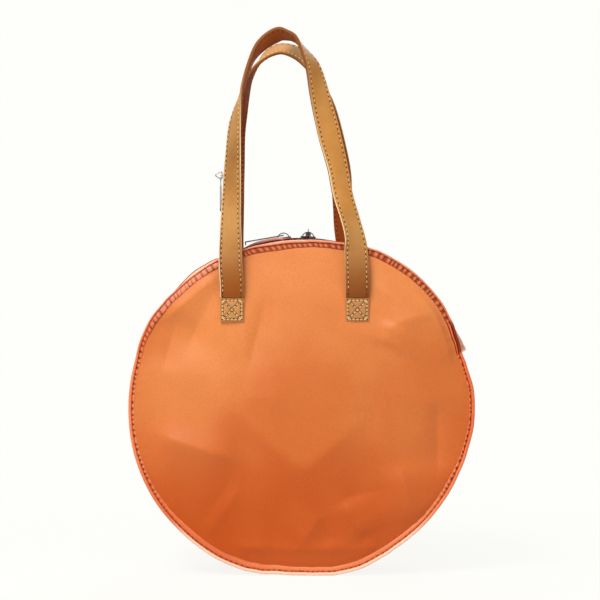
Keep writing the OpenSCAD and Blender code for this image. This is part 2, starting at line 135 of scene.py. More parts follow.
def apply_modifier(piece, kind, **settings):
    alone(piece)
    modifier = piece.modifiers.new(kind.title(), kind)
    for key, value in settings.items():
        setattr(modifier, key, value)
    bpy.ops.object.modifier_apply(modifier=modifier.name)


def edit(piece, command, **settings):
    """Runs an edit command on the whole of a piece's mesh."""
    alone(piece)
    bpy.ops.object.mode_set(mode="EDIT")
    bpy.ops.mesh.select_all(action="SELECT")
    command(**settings)
    bpy.ops.object.mode_set(mode="OBJECT")


def weld(piece, distance=SAME_POINT):
    """Joins the points of a piece that lie closer together than the distance."""
    edit(piece, bpy.ops.mesh.remove_doubles, threshold=distance)


def close_tube(piece):
    """Joins the seam of a tube of faces, closes its two ends and turns all its faces outward."""
    weld(piece)
    edit(piece, bpy.ops.mesh.fill_holes, sides=0)
    edit(piece, bpy.ops.mesh.normals_make_consistent, inside=False)


def face_away(piece, inside):
    """Turns the faces so that they point away from the inside of what they cover."""
    total = sum((p.center - inside(p.center)).dot(p.normal) * p.area for p in piece.data.polygons)
    if total < 0:
        edit(piece, bpy.ops.mesh.flip_normals)


def laid_grid(name, steps_u, steps_v, place, **marks):
    """A flat grid whose points are laid one by one at place(u, v). Each mark is kept for the finish."""
    bpy.ops.object.select_all(action="DESELECT")
    bpy.ops.mesh.primitive_grid_add(x_subdivisions=steps_u, y_subdivisions=steps_v, size=2)
    piece = bpy.context.object
    piece.name = piece.data.name = name
    mesh = piece.data
    spots = [((v.co.x + 1) / 2, (v.co.y + 1) / 2) for v in mesh.vertices]
    for v, (u, w) in zip(mesh.vertices, spots):
        v.co = place(u, w)
    for mark, value in marks.items():
        mesh.attributes.new(mark, "FLOAT", "POINT")
        for spot, (u, w) in zip(mesh.attributes[mark].data, spots):
            spot.value = value(u, w)
    return piece


def sheet(name, steps_u, steps_v, place, inside, thickness, joined=0.0, **marks):
    """A laid grid made thick inward from its outer face. Points closer than joined become one."""
    piece = laid_grid(name, steps_u, steps_v, place, **marks)
    if joined:
        weld(piece, joined)
    face_away(piece, inside)
    apply_modifier(piece, "SOLIDIFY", thickness=thickness, offset=-1)
    return piece


def axis_beside(c):
    """The place on the round body's own axis beside a point."""
    return Vector((0, c.y, CENTRE_Z))


def middle_behind(c):
    """The place on the bag's middle plane behind a point."""
    return Vector((c.x, 0, c.z))


def dress(piece, slot, material, *stands_for, angle=40):
    """Smooths a piece, gives it its material and hides the CAD nodes that it stands for. Its slot is not
    used.
    """
    alone(piece)
    bpy.ops.object.shade_smooth_by_angle(angle=math.radians(angle))
    piece.data.materials.append(material)
    if stands_for:
        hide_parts(*stands_for)


def finish_piece(piece, slot, material, *stands_for):
    """Dresses a piece of the bag's own body."""
    dress(piece, slot, material, *stands_for)
    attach(piece, "bag")


# The bag's soft shape
# Outer edge of the gathered rim, in degrees from the top and millimetres from the middle
RIM_FRONT = round_table([
    (-180, 184), (-172, 184.6), (-165, 188), (-160, 189.8), (-150, 190.9), (-135, 190.8),
    (-120, 191.7), (-105, 191.6), (-90, 191), (-75, 191), (-66, 193.2), (-60, 193.7), (-52, 191.6),
    (-45, 189.6), (-35, 188.4), (-25, 187.2), (-19, 186.2), (-9, 184.2), (0, 184.4), (5, 185.5),
    (11, 186.7), (15, 187.8), (21, 191), (27, 192.9), (40, 193.8), (52, 193.1), (60, 190.8),
    (66, 188.2), (71, 186.2), (75, 187.2), (85, 190.2), (95, 190.1), (105, 188.2), (115, 187.1),
    (130, 186.3), (145, 185.8), (152, 186.8), (160, 188.4), (168, 187.4), (175, 185),
])
RIM_BACK = round_table([
    (-180, 184), (-168, 186), (-150, 188.5), (-120, 189.5), (-90, 190), (-66, 191), (-56, 193.2),
    (-48, 195.6), (-40, 196.6), (-33, 194.8), (-26, 190), (-19, 186.2), (-10, 184), (0, 183.4),
    (8, 183.4), (16, 184), (30, 184.2), (50, 184.2), (60, 184.3), (68, 186.4), (76, 188), (90, 189.4),
    (120, 188.2), (150, 187.4), (168, 186.2),
])
# Width of the gathered rim on the panel's face
RIM_WIDTH = round_table([
    (-180, 10.8), (-160, 11.2), (-140, 10.4), (-125, 8.8), (-115, 7.2), (-90, 6.6), (-70, 6.8),
    (-55, 8.6), (-40, 8.8), (-20, 8.8), (-8, 9.2), (2, 8), (14, 8.6), (30, 9), (50, 9), (60, 7.6),
    (72, 6.2), (90, 6.2), (105, 6.8), (120, 8.4), (140, 9), (160, 10.6), (172, 10.8),
])


def seam_r(a, rim):
    """Radius of the seam inside a rim."""
    return at_angle(rim, a) - SEAM_IN


def side_r(a, y):
    """Radius of the side band's outer face."""
    seam = seam_r(a, RIM_FRONT if y < 0 else RIM_BACK)
    over = smooth(64, 82, abs((a + 180) % 360 - 180))
    middle_seam = (seam_r(a, RIM_FRONT) + seam_r(a, RIM_BACK)) / 2
    crown = mix(CROWN_R, middle_seam + 5 * MM, over)
    t = min(abs(y) / HALF_DEPTH, 1)
    return seam + (crown - seam) * (1 - t * t)


# Where the light on the creases comes from, how much slope a shade takes, and how round, in mm, a
# crease's top is
LIGHT_X, LIGHT_Z = -0.45, 0.89
CREASE_FORCE = 1.25
CREASE_ROUND = 1.5
# Creases of the soft leather. Each is a soft kink: its middle across and up, its direction in degrees,
# half its length, how far its dark side, on the left of its direction, and its light side reach, all
# in mm but the direction, and how much darker the dark side is
FRONT_CREASES = [
    (-111.7, 279.8, 64, 38, 24, 38, 0.16), (-144.5, 257.9, 77, 28, 15, 30, 0.14),
    (-124, 303, -141, 36, 26, 15, 0.15), (-49.3, 266.6, 77, 36, 9, 30, 0.2),
    (-62.4, 264.4, -86, 28, 8, 24, 0.09), (-40.5, 195.5, 180, 20, 18, 24, 0.07),
    (124.8, 283.1, 196, 30, 34, 24, 0.15), (95.3, 264.4, -114, 12, 24, 18, 0.09),
    (105.1, 302.8, 149, 34, 20, 16, 0.06), (155.5, 260.6, -68, 24, 10, 14, 0.13),
    (-117.2, 141.8, 163, 42, 34, 18, 0.15), (-97, 78, 55.5, 30, 5, 9, 0.14),
    (-86, 71, -124.5, 30, 10, 13, 0.2), (-54.8, 32.3, 180, 18, 9, 16, 0.22),
    (8.2, 49.3, -128, 18, 10, 18, 0.26), (26.3, 49.3, 106, 14, 8, 14, 0.11),
    (58, 62.4, 121, 20, 12, 20, 0.18), (72.8, 90.9, 10, 24, 22, 14, 0.1),
    (148.9, 150.6, 90, 34, 18, 12, 0.14), (116.1, 89.2, -75, 30, 22, 26, 0.1),
    (11, 30.1, 180, 64, 10, 12, 0.2), (74.5, 31.2, 159, 8, 5, 7, 0.16),
]
BACK_CREASES = [
    (110, 272, 118, 40, 24, 36, 0.15), (-118, 280, 40, 30, 30, 22, 0.14),
    (46, 262, 100, 34, 10, 28, 0.18), (60, 200, 10, 24, 18, 22, 0.09),
    (96, 150, -168, 42, 32, 18, 0.15), (-30, 132, 150, 26, 22, 28, 0.12),
    (10, 128, -140, 24, 24, 28, 0.12), (84, 74, 112, 26, 7, 7, 0.13),
    (-60, 66, -120, 20, 12, 18, 0.12), (-146, 150, 88, 32, 16, 14, 0.13),
    (-110, 92, 70, 28, 22, 24, 0.1), (4, 32, 180, 60, 10, 12, 0.18),
]
# The fold in the middle of the front: a V with its point at this place, in mm, how high and steep it
# is, how much farther the V is straight down than across its arms, and how round its point is, in mm
PEAK_X, PEAK_Z = 1, 119
PEAK_HIGH = 4.6 * MM
PEAK_STEEP = 0.9
PEAK_SLANT = 1.35
PEAK_ROUND = 9
# Height at which the sewn strap ends hold the panels' leather flat
HELD_Z = 294 * MM


def measure_creases(creases):
    """Each crease with its turn and its height worked out once."""
    rows = []
    for x, z, turn, half_l, dark, light, shade in creases:
        c, s = math.cos(math.radians(turn)), math.sin(math.radians(turn))
        facing = c * LIGHT_Z - s * LIGHT_X
        slope = -CREASE_FORCE * shade / math.copysign(max(abs(facing), 0.5), facing)
        rows.append((x, z, half_l, dark, light, c, s, slope * dark))
    return rows


def crease_depth(x, z, rows):
    """How far the creases lift the leather at a place."""
    total = 0.0
    for cx, cz, half_l, dark, light, c, s, height in rows:
        dx, dz = x / MM - cx, z / MM - cz
        along, across = (dx * c + dz * s) / half_l, dz * c - dx * s
        reach = (math.hypot(across, CREASE_ROUND) - CREASE_ROUND) / (dark if across > 0 else light)
        if abs(along) < 1.6 and reach < 5:
            total += height * math.exp(-along ** 4 - reach) * (1 - (reach / 5) ** 4)
    return total * MM


def over_peak(x, z):
    """How far a point of the front lies above the V of its middle fold, in mm."""
    off_middle = math.hypot(x / MM - PEAK_X, PEAK_ROUND) - PEAK_ROUND
    return z / MM - PEAK_Z - PEAK_STEEP * off_middle


def peak_depth(x, z):
    """Height of the middle fold's ridge, steep below the V and slack above it."""
    over = over_peak(x, z) / PEAK_SLANT
    reach = (math.hypot(over, 3) - 3) / (62 if over > 0 else 30)
    return PEAK_HIGH * math.exp(-reach) * smooth(82, 24, abs(x / MM - PEAK_X))


def middle_painted_light(x, z):
    """Where painted light inside the V spares the front's skin from its painted low shade."""
    return 0.8 * smooth(-7, 12, over_peak(x, z)) * smooth(100, 50, abs(x / MM - PEAK_X))


def panel_depth(a, r, rim, creases):
    """Distance of a panel's face from the middle plane."""
    q = r / seam_r(a, rim)
    t = math.radians(a)
    x, z = r * math.sin(t), CENTRE_Z + r * math.cos(t)
    dome = HALF_DEPTH + DOME * (1 - min(q, 1) ** 2)
    held = 1.0
    for leg_x in (LEFT_LEG_X, RIGHT_LEG_X):
        held *= 1 - 0.85 * bell(x - leg_x, 24 * MM) * bell(z - HELD_Z, 26 * MM)
    inner = smooth(1.0, 0.93, q)
    soft = crinkle((x, z, 0), 14, 3.1) * 0.9 * MM + crinkle((x, z, 0), 34, 8.7) * 0.3 * MM
    gather = math.cos(math.pi * GATHERS * a / 360 + 5 * crinkle((x, z, 0), 8))
    pucker = 0.22 * MM * gather * smooth(0.9, 0.975, q) * smooth(150, 130, abs(a)) * smooth(50, 70, abs(a))
    if rim is RIM_FRONT:
        soft += peak_depth(x, z)
    return dome + (crease_depth(x, z, creases) + soft) * inner * held + pucker


def panel_layer(name, rim, creases, side, depth, thickness, reach, steps):
    """One round layer of a panel, depth under its face, that ends reach past the rim's inner edge."""
    rows = measure_creases(creases)

    def place(u, v):
        a = -180 + 360 * u
        edge = at_angle(rim, a) - at_angle(RIM_WIDTH, a) + reach
        r = edge * (1 - (1 - v) ** 1.2)
        return on_body(a, r, side * (panel_depth(a, r, rim, rows) - depth))

    # The pale mark is painted light inside the front's V
    def pale(u, v):
        p = place(u, v)
        return middle_painted_light(p.x, p.z) if rim is RIM_FRONT else 0.0

    return sheet(name, steps * 4, steps, place, middle_behind, thickness, SAME_MIDDLE, pale=pale)


# Gathered rim
# Distance in from the outer edge to the groove behind the rim's smooth lip
LIP_IN = round_table([
    (-180, 4.1), (-165, 4.1), (-150, 4), (-135, 3.9), (-115, 3.9), (-80, 3.6), (-66, 2.6),
    (-55, 1.6), (-35, 1.4), (-24, 2), (-10, 2.7), (10, 2.8), (30, 2.3), (55, 2.1), (66, 3.1),
    (80, 3.8), (115, 4), (135, 4), (150, 4.1), (165, 4.1),
])


def gather_wave(a, seed):
    """A gather's place: 0 in the valley between two gathers and 1 on top, and its number."""
    wander = 0.9 * noise.noise(Vector((a * 0.09, seed, 0))) + 0.5 * noise.noise(Vector((a * 0.31, seed, 4)))
    f = GATHERS * a / 360 + wander
    number = math.floor(f)
    f -= number
    return min(f, 1 - f) * 2, number


def tabbed(a, side):
    """Where the cover of the zip's end draws the front rim smooth."""
    return smooth(57.5, 62, a) * smooth(71.5, 70, a) if side < 0 else 0.0


def binding(name, rim, side, seed):
    """The rim: a smooth rolled lip outside, then a band of gathers sewn down on the panel.

    Its zones are 0 for the gathers, 1 for the lip and 2 for its back, each with its own grid rows."""
    inner, roll, back = 11, 9, 6
    steps = inner + roll + back

    def section(a, v):
        """Distance in from the outer edge, height, share of the way, and the zone."""
        width, lip = at_angle(RIM_WIDTH, a), at_angle(LIP_IN, a)
        k = v * steps
        if k <= inner:
            t = k / inner
            return mix(width, lip, t), 0.15 * MM, t, 0
        if k <= inner + roll:
            t = (k - inner) / roll
            angle = math.pi * t
            return (lip * (0.5 + 0.5 * math.cos(angle)),
                    0.15 * MM * (1 - t) + (1.3 * MM + 0.32 * lip) * math.sin(angle) ** 0.8, t, 1)
        t = (k - inner - roll) / back
        return 3.4 * MM * t * t, -3.6 * MM * t, t, 2

    def wave_at(a, d):
        """The gathers' wave, slanted where the photographed gathers lean."""
        slant = -1.2 * smooth(26, 14, abs(a)) + 0.8 * smooth(-34, -46, a) * smooth(-76, -62, a)
        return gather_wave(a + slant * (d / (8 * MM) - 0.5), seed)

    def place(u, v):
        a = -180 + 360 * u
        d, h, t, zone = section(a, v)
        wave, number = wave_at(a, d)
        loose = 0.7 + 0.6 * abs(noise.noise(Vector((number * 1.7, seed, 2))))
        high = smooth(134, 112, abs(a))
        pillow = math.sqrt(max(1 - (1 - wave) ** 2, 0))
        if zone == 0:
            broad = smooth(1.6 * MM, 5 * MM, at_angle(RIM_WIDTH, a) - at_angle(LIP_IN, a))
            bulge = mix(0.8, 1.7, broad) * loose * (0.2 + 0.8 * pillow)
            bulge = mix(bulge, 1.2, tabbed(a, side))
            h += math.sin(math.pi * t) ** 0.6 * mix(0.8, bulge, high) * MM
            h -= 0.5 * MM * bell(t - 1, 0.2) * (1 - 0.6 * pillow)
        else:
            h -= 0.35 * MM * (1 - pillow) * high * (1 - smooth(0.1, 0.8, t)) * (zone == 1)
        r = at_angle(rim, a) - d
        base = DOME * (1 - min(r / seam_r(a, rim), 1) ** 2)
        y = side * (HALF_DEPTH + base * smooth(0, 3 * MM, d - SEAM_IN) + h)
        return on_body(a, r, y, 0.05 * MM)

    def fold(u, v):
        """How dark the rim is: painted shade in the valleys, creases and grooves of the gathers, along the
        lip's edge and on the rim's back, with the dark seam lines and stitch holes.
        """
        a = -180 + 360 * u
        d, _, t, zone = section(a, v)
        wave, number = wave_at(a, d)
        turn = abs(a)
        high, low, upper = smooth(134, 112, turn), smooth(138, 152, turn), smooth(74, 60, turn)
        right = smooth(16, 26, a) * upper
        top = upper * smooth(-24, -17, a) * (1 - right)
        left = upper - top - right
        ended = tabbed(a, side)
        if zone == 2:
            return 0.75 * smooth(0.66, 0.45, t)
        valley = 1 - smooth(0.12, 0.7, wave)
        if zone == 1:
            groove = bell(t, 0.16) * mix(mix(0.5 + 0.4 * valley, 0.12, left), 0.3 + 0.65 * valley, low)
            return max(groove, 0.6 * smooth(0.8, 1, t), 0.9 * ended * smooth(1, 0.7, t), 0.22 * right)
        patch = 0.5 + 0.5 * noise.noise(Vector((number * 0.77, seed, 9)))
        lens = smooth(0.2, 0.85, wave) * bell(t - 0.42, 0.36) * (0.6 + 0.4 * patch)
        ridge = smooth(0.3, 0.9, wave) * (0.45 + 0.4 * patch) * (0.55 + 0.45 * smooth(0.1, 0.6, t))
        crease = (1 - smooth(0.1, 0.46, wave)) * smooth(1, 0.6, t) * smooth(0.1, 0.5, patch)
        sides = valley * bell(t - 0.7, 0.5) * high
        tone = ((1 - upper) * sides + top * (0.82 - 0.75 * lens) + right * (0.88 - ridge)
                + left * (0.12 + 0.88 * crease))
        line = 0.8 * bell(t, 0.13) * upper + 0.5 * bell(t, 0.12) * low
        seam = bell(t - 1, 0.16) * mix(0.25 + 0.75 * valley, 0.55 * (1 - left), upper)
        tone = min(1.0, max(tone, line, 0.95 * seam))
        return mix(tone, max(smooth(0.44, 0.3, t), smooth(0.6, 0.74, t)) * 0.95, ended)

    def raw(u, v):
        """How pale the rim is: the cream of its back and of the front's bottom lip, and a painted sheen on
        the lip near the top and on the front's upper left gathers.
        """
        a = -180 + 360 * u
        _, _, t, zone = section(a, v)
        if zone == 0:
            # Painted sheen on the front's upper left gathers
            left = smooth(-24, -30, a) * smooth(-64, -52, a)
            return 0.12 * left * smooth(0.1, 0.35, t) * smooth(0.98, 0.8, t) if side < 0 else 0.0
        if zone == 2:
            return smooth(0.5, 0.75, t) * (1 - 0.4 * t)
        low = smooth(128, 142, abs(a)) if side < 0 else 0
        pale = 0.72 * low * smooth(0.16, 0.3, t)
        # Painted sheen along the lip near the top
        painted_sheen = 0.12 * bell(t - 0.55, 0.3) * smooth(64, 50, abs(a))
        return max(pale, painted_sheen) * smooth(0.98, 0.84, t)

    def cord(c):
        """The middle of the rim's cord, beside the point c."""
        a = math.degrees(math.atan2(c.x, c.z - CENTRE_Z))
        return on_body(a, seam_r(a, rim), side * (HALF_DEPTH - 1 * MM))

    return sheet(name, GATHERS * 8, steps, place, cord, COVER_T, SAME_POINT, fold=fold, raw=raw)


# Side bands
# How far the front strip sinks, where the chain is parted and how far, and the length of a slider's nose
SUNK = 3.8 * MM
GAP_FROM_X, GAP_TO_X = -21.74 * MM, 8.02 * MM
GAP_HALF_W = 3.1 * MM
NOSE_L = 8.5 * MM
# How far the row of stitches lies from a strip's folded edge
HEM_IN = 3.2 * MM


def band_point(a, y, depth, wrinkle=1.0):
    """A point of the side band, depth under its outer face, with its soft wrinkles."""
    r = side_r(a, y) - depth
    edge = smooth(0.45, 1.0, abs(y) / HALF_DEPTH)
    wave, _ = gather_wave(a, 1.0 if y < 0 else 2.0)
    r += wrinkle * MM * (0.55 * crinkle((a * 0.05, y * 20, 0), 2.2, 5.0)
                         + 0.25 * edge * (smooth(0, 0.7, wave) - 0.6))
    return on_body(a, r, y, depth)


def lower_layer(name, depth, thickness, reach):
    """One layer of the side band from one end of the zip round the bottom to the other."""
    def place(u, v):
        a = ZIP_END_A + (360 - 2 * ZIP_END_A) * u
        return band_point(a, mix(-reach, reach, v), depth)

    return sheet(name, 420, 26, place, axis_beside, thickness)


def lens_share(a):
    """Where the zip gapes beside the left slider."""
    return smooth(-24, -14, a) * smooth(2, -4, a)


def sunk_share(a):
    """Where the front strip lies lower than the rim."""
    return smooth(-24, -15, a) * smooth(20, 9, a)


def zip_band_layer(name, side, edge_y, depth, thickness, hem):
    """One of the two strips beside the zip, its inner edge folded under as a hem."""
    turn = 5 if hem else 0
    across = 20 + turn

    def place(u, v):
        a = mix(-ZIP_END_A, ZIP_END_A, u)
        k = v * across
        dip = SUNK * sunk_share(a) if side < 0 else 0.0
        if k < turn:
            angle = math.pi * (1 - k / turn)
            y = edge_y + thickness / 2 - math.sin(angle) * thickness / 2
            down = depth + thickness / 2 - math.cos(angle) * thickness / 2
        else:
            t = (k - turn) / (across - turn)
            y = mix(edge_y + thickness / 2 * (1 if hem else 0), BAND_Y - (0 if hem else 1 * MM), t)
            down = depth
        droop = dip * smooth(30 * MM, edge_y + 2 * MM, y)
        quilt = 0.35 * MM * bell(y - edge_y - HEM_IN, 0.9 * MM) if hem else 0
        return band_point(a, side * y, down + droop + quilt, 0.6)

    return sheet(name, 260, across, place, axis_beside, thickness * (0.45 if hem else 1))


def parted(x):
    """How far a zip tape is drawn back from the middle between the two sliders."""
    from_left, to_right = (x - GAP_FROM_X) / NOSE_L, (GAP_TO_X - x) / NOSE_L
    return GAP_HALF_W * min(max(min(from_left, to_right), 0), 1)


def zip_tape(name, side):
    """A zip tape, from beside its teeth to under the strip, standing up where the zip gapes."""
    def spot(u, v):
        """The angle of a grid point, the depth of the tape's edge there and the point's own depth."""
        a = mix(-ZIP_END_A, ZIP_END_A, u)
        near = CHAIN_EDGE_Y + parted(CHAIN_R * math.sin(math.radians(a)))
        return a, near, mix(near, TAPE_LAP_Y, v)

    def place(u, v):
        a, near, y = spot(u, v)
        down = SKIN_T
        if side < 0:
            down += SUNK * sunk_share(a) * smooth(near + 6 * MM, ZIP_EDGE_Y, y)
            bump = mix(1.6, 3.5, smooth(-4, -10, a)) * MM
            down -= bump * lens_share(a) * bell(y - 8.8 * MM, 2.1 * MM)
        p = band_point(a, side * y, down, 0.0)
        flat = on_body(a, CHAIN_R + TAPE_T / 2, side * y)
        return flat.lerp(p, smooth(near + 0.5 * MM, near + 5 * MM, y))

    def trim(u, v):
        """A painted highlight: the front tape's pink crest, which catches the light, where the zip gapes.
        """
        a, _, y = spot(u, v)
        crest = smooth(10.1 * MM, 9.7 * MM, y) * smooth(7 * MM, 7.6 * MM, y)
        return lens_share(a) * crest if side < 0 else 0.0

    return sheet(name, 360, 22, place, axis_beside, TAPE_T, trim=trim)


# Covers of the zip's ends: from and to in degrees, half their width, the share of the way down to their
# seam and its pitch
TAB_FROM, TAB_TO = 61.6, 70.9
TAB_Y = 37.6 * MM
TAB_SEAM = 0.8
TAB_PITCH = 3.5 * MM


def tab_crown(y):
    """How a cover flattens out toward its two sides."""
    return 1 - 0.45 * (abs(y) / TAB_Y) ** 4


def end_tab(name, sign):
    """The leather cover lapped over an end of the zip, its lower end turned under and standing proud."""
    around = 44

    def section(v):
        """Share of the way down the cover, and whether this is its outer face. The last row closes it."""
        k = v * (around + 1)
        k = 0 if k > around + 0.5 else k / around * 2
        t = k if k < 1 else 2 - k
        return 0.5 - 0.5 * math.cos(math.pi * t), k < 1

    def place(u, v):
        y = mix(-TAB_Y, TAB_Y, u)
        t, outer = section(v)
        a = mix(TAB_FROM, TAB_TO, t) + 0.25 * crinkle((y * 9, 0, sign), 6.0) * smooth(0.7, 1, t)
        rise = mix(1.7, 5.4 if sign > 0 else 3.2, t ** 1.15) * tab_crown(y)
        dent = 0.8 * (bell(t - TAB_SEAM, 0.035) + 0.5 * bell(t, 0.06))
        lift = (rise - dent) * MM if outer else 0.2 * MM
        r = side_r(sign * a, y) + lift
        return on_body(sign * a, r, y)

    def raw(u, v):
        t, outer = section(v)
        # The outer face's share of 0.2 is painted light; the turned end and the inner face are pale raw
        # leather
        return max(0.9 * smooth(0.9, 0.96, t), 0.2) if outer else 0.9

    def fold(u, v):
        t, outer = section(v)
        # Painted shade in the cover's seam
        return 0.4 * bell(t - TAB_SEAM, 0.05) if outer else 0.0

    piece = laid_grid(name, 60, around + 1, place, raw=raw, fold=fold)
    close_tube(piece)
    return piece


def tab_stitches():
    """The row across each cover of a zip end."""
    spots = []
    for sign in (-1, 1):
        a = mix(TAB_FROM, TAB_TO, TAB_SEAM)
        for i in range(-10, 11):
            y = i * TAB_PITCH
            r = side_r(sign * a, y) + 3.6 * MM * tab_crown(y)
            at = on_body(sign * a, r, y)
            spots.append((at, Vector((0, 1, 0)), at - Vector((0, y, CENTRE_Z))))
    return spots


def hem_stitches():
    """The row along the folded edge of each strip beside the zip."""
    spots, step_a = [], 1.1
    for side in (-1, 1):
        y = side * (ZIP_EDGE_Y + HEM_IN)
        for i in range(int((2 * TAB_FROM - 2) / step_a)):
            a = -TAB_FROM + 1.4 + step_a * i
            dip = SUNK * sunk_share(a) * smooth(30 * MM, ZIP_EDGE_Y + 2 * MM, abs(y)) if side < 0 else 0
            at, ahead = (band_point(a + step, y, dip + 0.25 * MM, 0.6) for step in (0, 0.2))
            spots.append((at, ahead - at, at - Vector((0, y, CENTRE_Z))))
    return spots


# Straps: the bend over their sewn ends, how far out their middle lies, their width and the thickness of
# each layer, the rise and lean of their tops, how far in from the edge a seam runs, and its pitch
HINGE_Y, HINGE_Z = 48.6656 * MM, 305.4 * MM
STRAP_MID_Y = 46.2656 * MM
STRAP_W = 26 * MM
STRAP_LAYER_T = 2 * MM
HANDLE_RISE, HANDLE_LEAN = 290 * MM, 12 * MM
EDGE_IN = 2.9 * MM
STITCH_PITCH = 5.4 * MM
# Routes of the handles: place across the legs, height, twist in degrees and lean
ROUTES = {
    "front": [
        (0, 0, 0, 0), (0, 0.05, 0, 0), (-0.008, 0.1, 1, 0), (-0.011, 0.15, 8, 0),
        (-0.009, 0.23, 22, 0.03), (-0.007, 0.31, 32, 0.1), (0.006, 0.47, 44, 0.3),
        (0.019, 0.63, 56, 0.6), (0.038, 0.705, 69, 0.75), (0.08, 0.792, 90, 0.87),
        (0.148, 0.9, 94, 0.97), (0.235, 0.962, 108, 1), (0.355, 1, 113, 1), (0.43, 1, 101, 1),
        (0.511, 0.982, 90, 1), (0.602, 0.919, 66, 0.98), (0.65, 0.871, 52, 0.95),
        (0.703, 0.765, 35, 0.85), (0.761, 0.652, 21, 0.65), (0.784, 0.606, 20, 0.58),
        (0.843, 0.493, 32, 0.35), (0.882, 0.391, 35, 0.2), (0.936, 0.304, 38, 0.08),
        (0.977, 0.229, 32, 0.03), (0.99, 0.17, 8, 0), (0.996, 0.11, 1, 0), (1, 0.05, 0, 0), (1, 0, 0, 0)],
    "rear": [
        (0, 0, 0, 0), (0, 0.05, 0, 0), (-0.012, 0.1, 1, 0), (-0.022, 0.15, 8, 0),
        (-0.026, 0.23, 20, 0.03), (-0.022, 0.31, 24, 0.1), (-0.018, 0.4, 26, 0.2),
        (-0.013, 0.485, 29, 0.33), (0.013, 0.643, 50, 0.62), (0.061, 0.746, 70, 0.8),
        (0.1, 0.836, 80, 0.9), (0.129, 0.88, 84, 0.95), (0.191, 0.925, 95, 1), (0.29, 0.97, 114, 1),
        (0.405, 0.986, 122, 1), (0.545, 0.959, 124, 1), (0.65, 0.885, 95, 0.97), (0.7, 0.83, 66, 0.9),
        (0.765, 0.747, 45, 0.8), (0.838, 0.602, 28, 0.55), (0.885, 0.488, 28, 0.33),
        (0.901, 0.36, 38, 0.12), (0.918, 0.304, 18, 0.06), (0.931, 0.25, 0, 0.02), (0.95, 0.18, 0, 0),
        (0.975, 0.12, 0, 0), (1, 0.05, 0, 0), (1, 0, 0, 0)],
}
# Lengths along each strap, from measure_straps
RUNS = {}
# Painted light and shade on the front handle's two legs: height and brightness
LEG_SHADING = {
    "left": [(305, 1.05), (346, 0.92), (412, 0.84), (440, 0.7), (467, 0.62), (490, 0.72), (540, 0.95),
             (600, 1)],
    "right": [(305, 0.85), (346, 0.86), (380, 1.05), (412, 1.3), (478, 1.12), (520, 1.08), (560, 1),
              (600, 1)],
}


def leg_shading(x, z):
    """Painted brightness of the front strap at a place."""
    tones = []
    for rows in LEG_SHADING.values():
        k = max(i for i in range(len(rows) - 1) if rows[i][0] * MM <= z or i == 0)
        (z0, t0), (z1, t1) = rows[k], rows[k + 1]
        tones.append(mix(t0, t1, smooth(z0 * MM, z1 * MM, z)))
    return mix(tones[0], tones[1], smooth(-55 * MM, 15 * MM, x))


def route_at(strap, k):
    """A handle's route at k rows along it, smooth through every row."""
    rows = ROUTES[strap]
    last = len(rows) - 1

    def row(i):
        if i < 0:
            return [2 * a - b for a, b in zip(rows[0], rows[1])]
        if i > last:
            return [2 * a - b for a, b in zip(rows[last], rows[last - 1])]
        return rows[i]

    i = min(int(k), last - 1)
    t = k - i

    def curve(a, b, c, d):
        return 0.5 * (2 * b + (c - a) * t + (2 * a - 5 * b + 4 * c - d) * t * t
                      + (3 * b - a - 3 * c + d) * t ** 3)

    return [curve(*values) for values in zip(row(i - 1), row(i), row(i + 1), row(i + 2))]


def strap_frame(strap, k):
    """Middle of a strap at k, with its directions along, across and out, drawn as on the front."""
    last = len(ROUTES[strap]) - 1

    def point(q):
        p = route_at(strap, min(max(q, 0), last))
        return Vector((LEFT_LEG_X + (RIGHT_LEG_X - LEFT_LEG_X) * p[0],
                       -STRAP_MID_Y + HANDLE_LEAN * p[3], HINGE_Z + HANDLE_RISE * p[1]))

    run = (point(k + 0.15) - point(k - 0.15)).normalized()
    twist = math.radians(route_at(strap, k)[2])
    normal = Vector((-run.z, 0, run.x)).normalized()
    sideways = Vector((0, math.sin(twist), 0))
    across = (normal * math.cos(twist) + sideways - run * run.dot(sideways)).normalized()
    return point(k), run, across, run.cross(across)


def measure_straps():
    """Lengths along each strap at even steps of its route."""
    steps = 700
    for strap, rows in ROUTES.items():
        spots, total, last = [], 0.0, strap_frame(strap, 0)[0]
        for i in range(steps + 1):
            k = (len(rows) - 1) * i / steps
            p = strap_frame(strap, k)[0]
            total += (p - last).length
            last = p
            spots.append((total, k))
        RUNS[strap] = spots


def strap_length(strap):
    """Length of a strap between its two ends."""
    return RUNS[strap][-1][0]


def strap_k(strap, length):
    """Place on a strap's route at a length along it."""
    spots = RUNS[strap]
    low, high = 0, len(spots) - 1
    while high - low > 1:
        half = (low + high) // 2
        if spots[half][0] < length:
            low = half
        else:
            high = half
    (l0, k0), (l1, k1) = spots[low], spots[high]
    return mix(k0, k1, (length - l0) / max(l1 - l0, 1e-9))


def strap_surface(strap, length, w, n):
    """A point of a strap: length along it, w across it and n out of its middle."""
    total = strap_length(strap)
    p, _, across, out = strap_frame(strap, strap_k(strap, min(max(length, 0), total)))
    from_end = min(length, total - length)
    belly = 2.8 * MM * math.sin(math.pi * min(max(from_end / (52 * MM), 0), 1)) ** 1.3
    sunk = 1.0 * MM * (1 - smooth(0, 6 * MM, from_end))
    seed = 1 if strap == "front" else 4
    soft = 0.5 * MM * crinkle((length * 0.4, w, seed), 30) * smooth(0, 30 * MM, from_end)
    q = p + across * w + out * (n + soft) + Vector((0, -belly + sunk * (1 if n > 0 else 0.1), 0))
    return Vector((q.x, q.y if strap == "front" else -q.y, q.z))


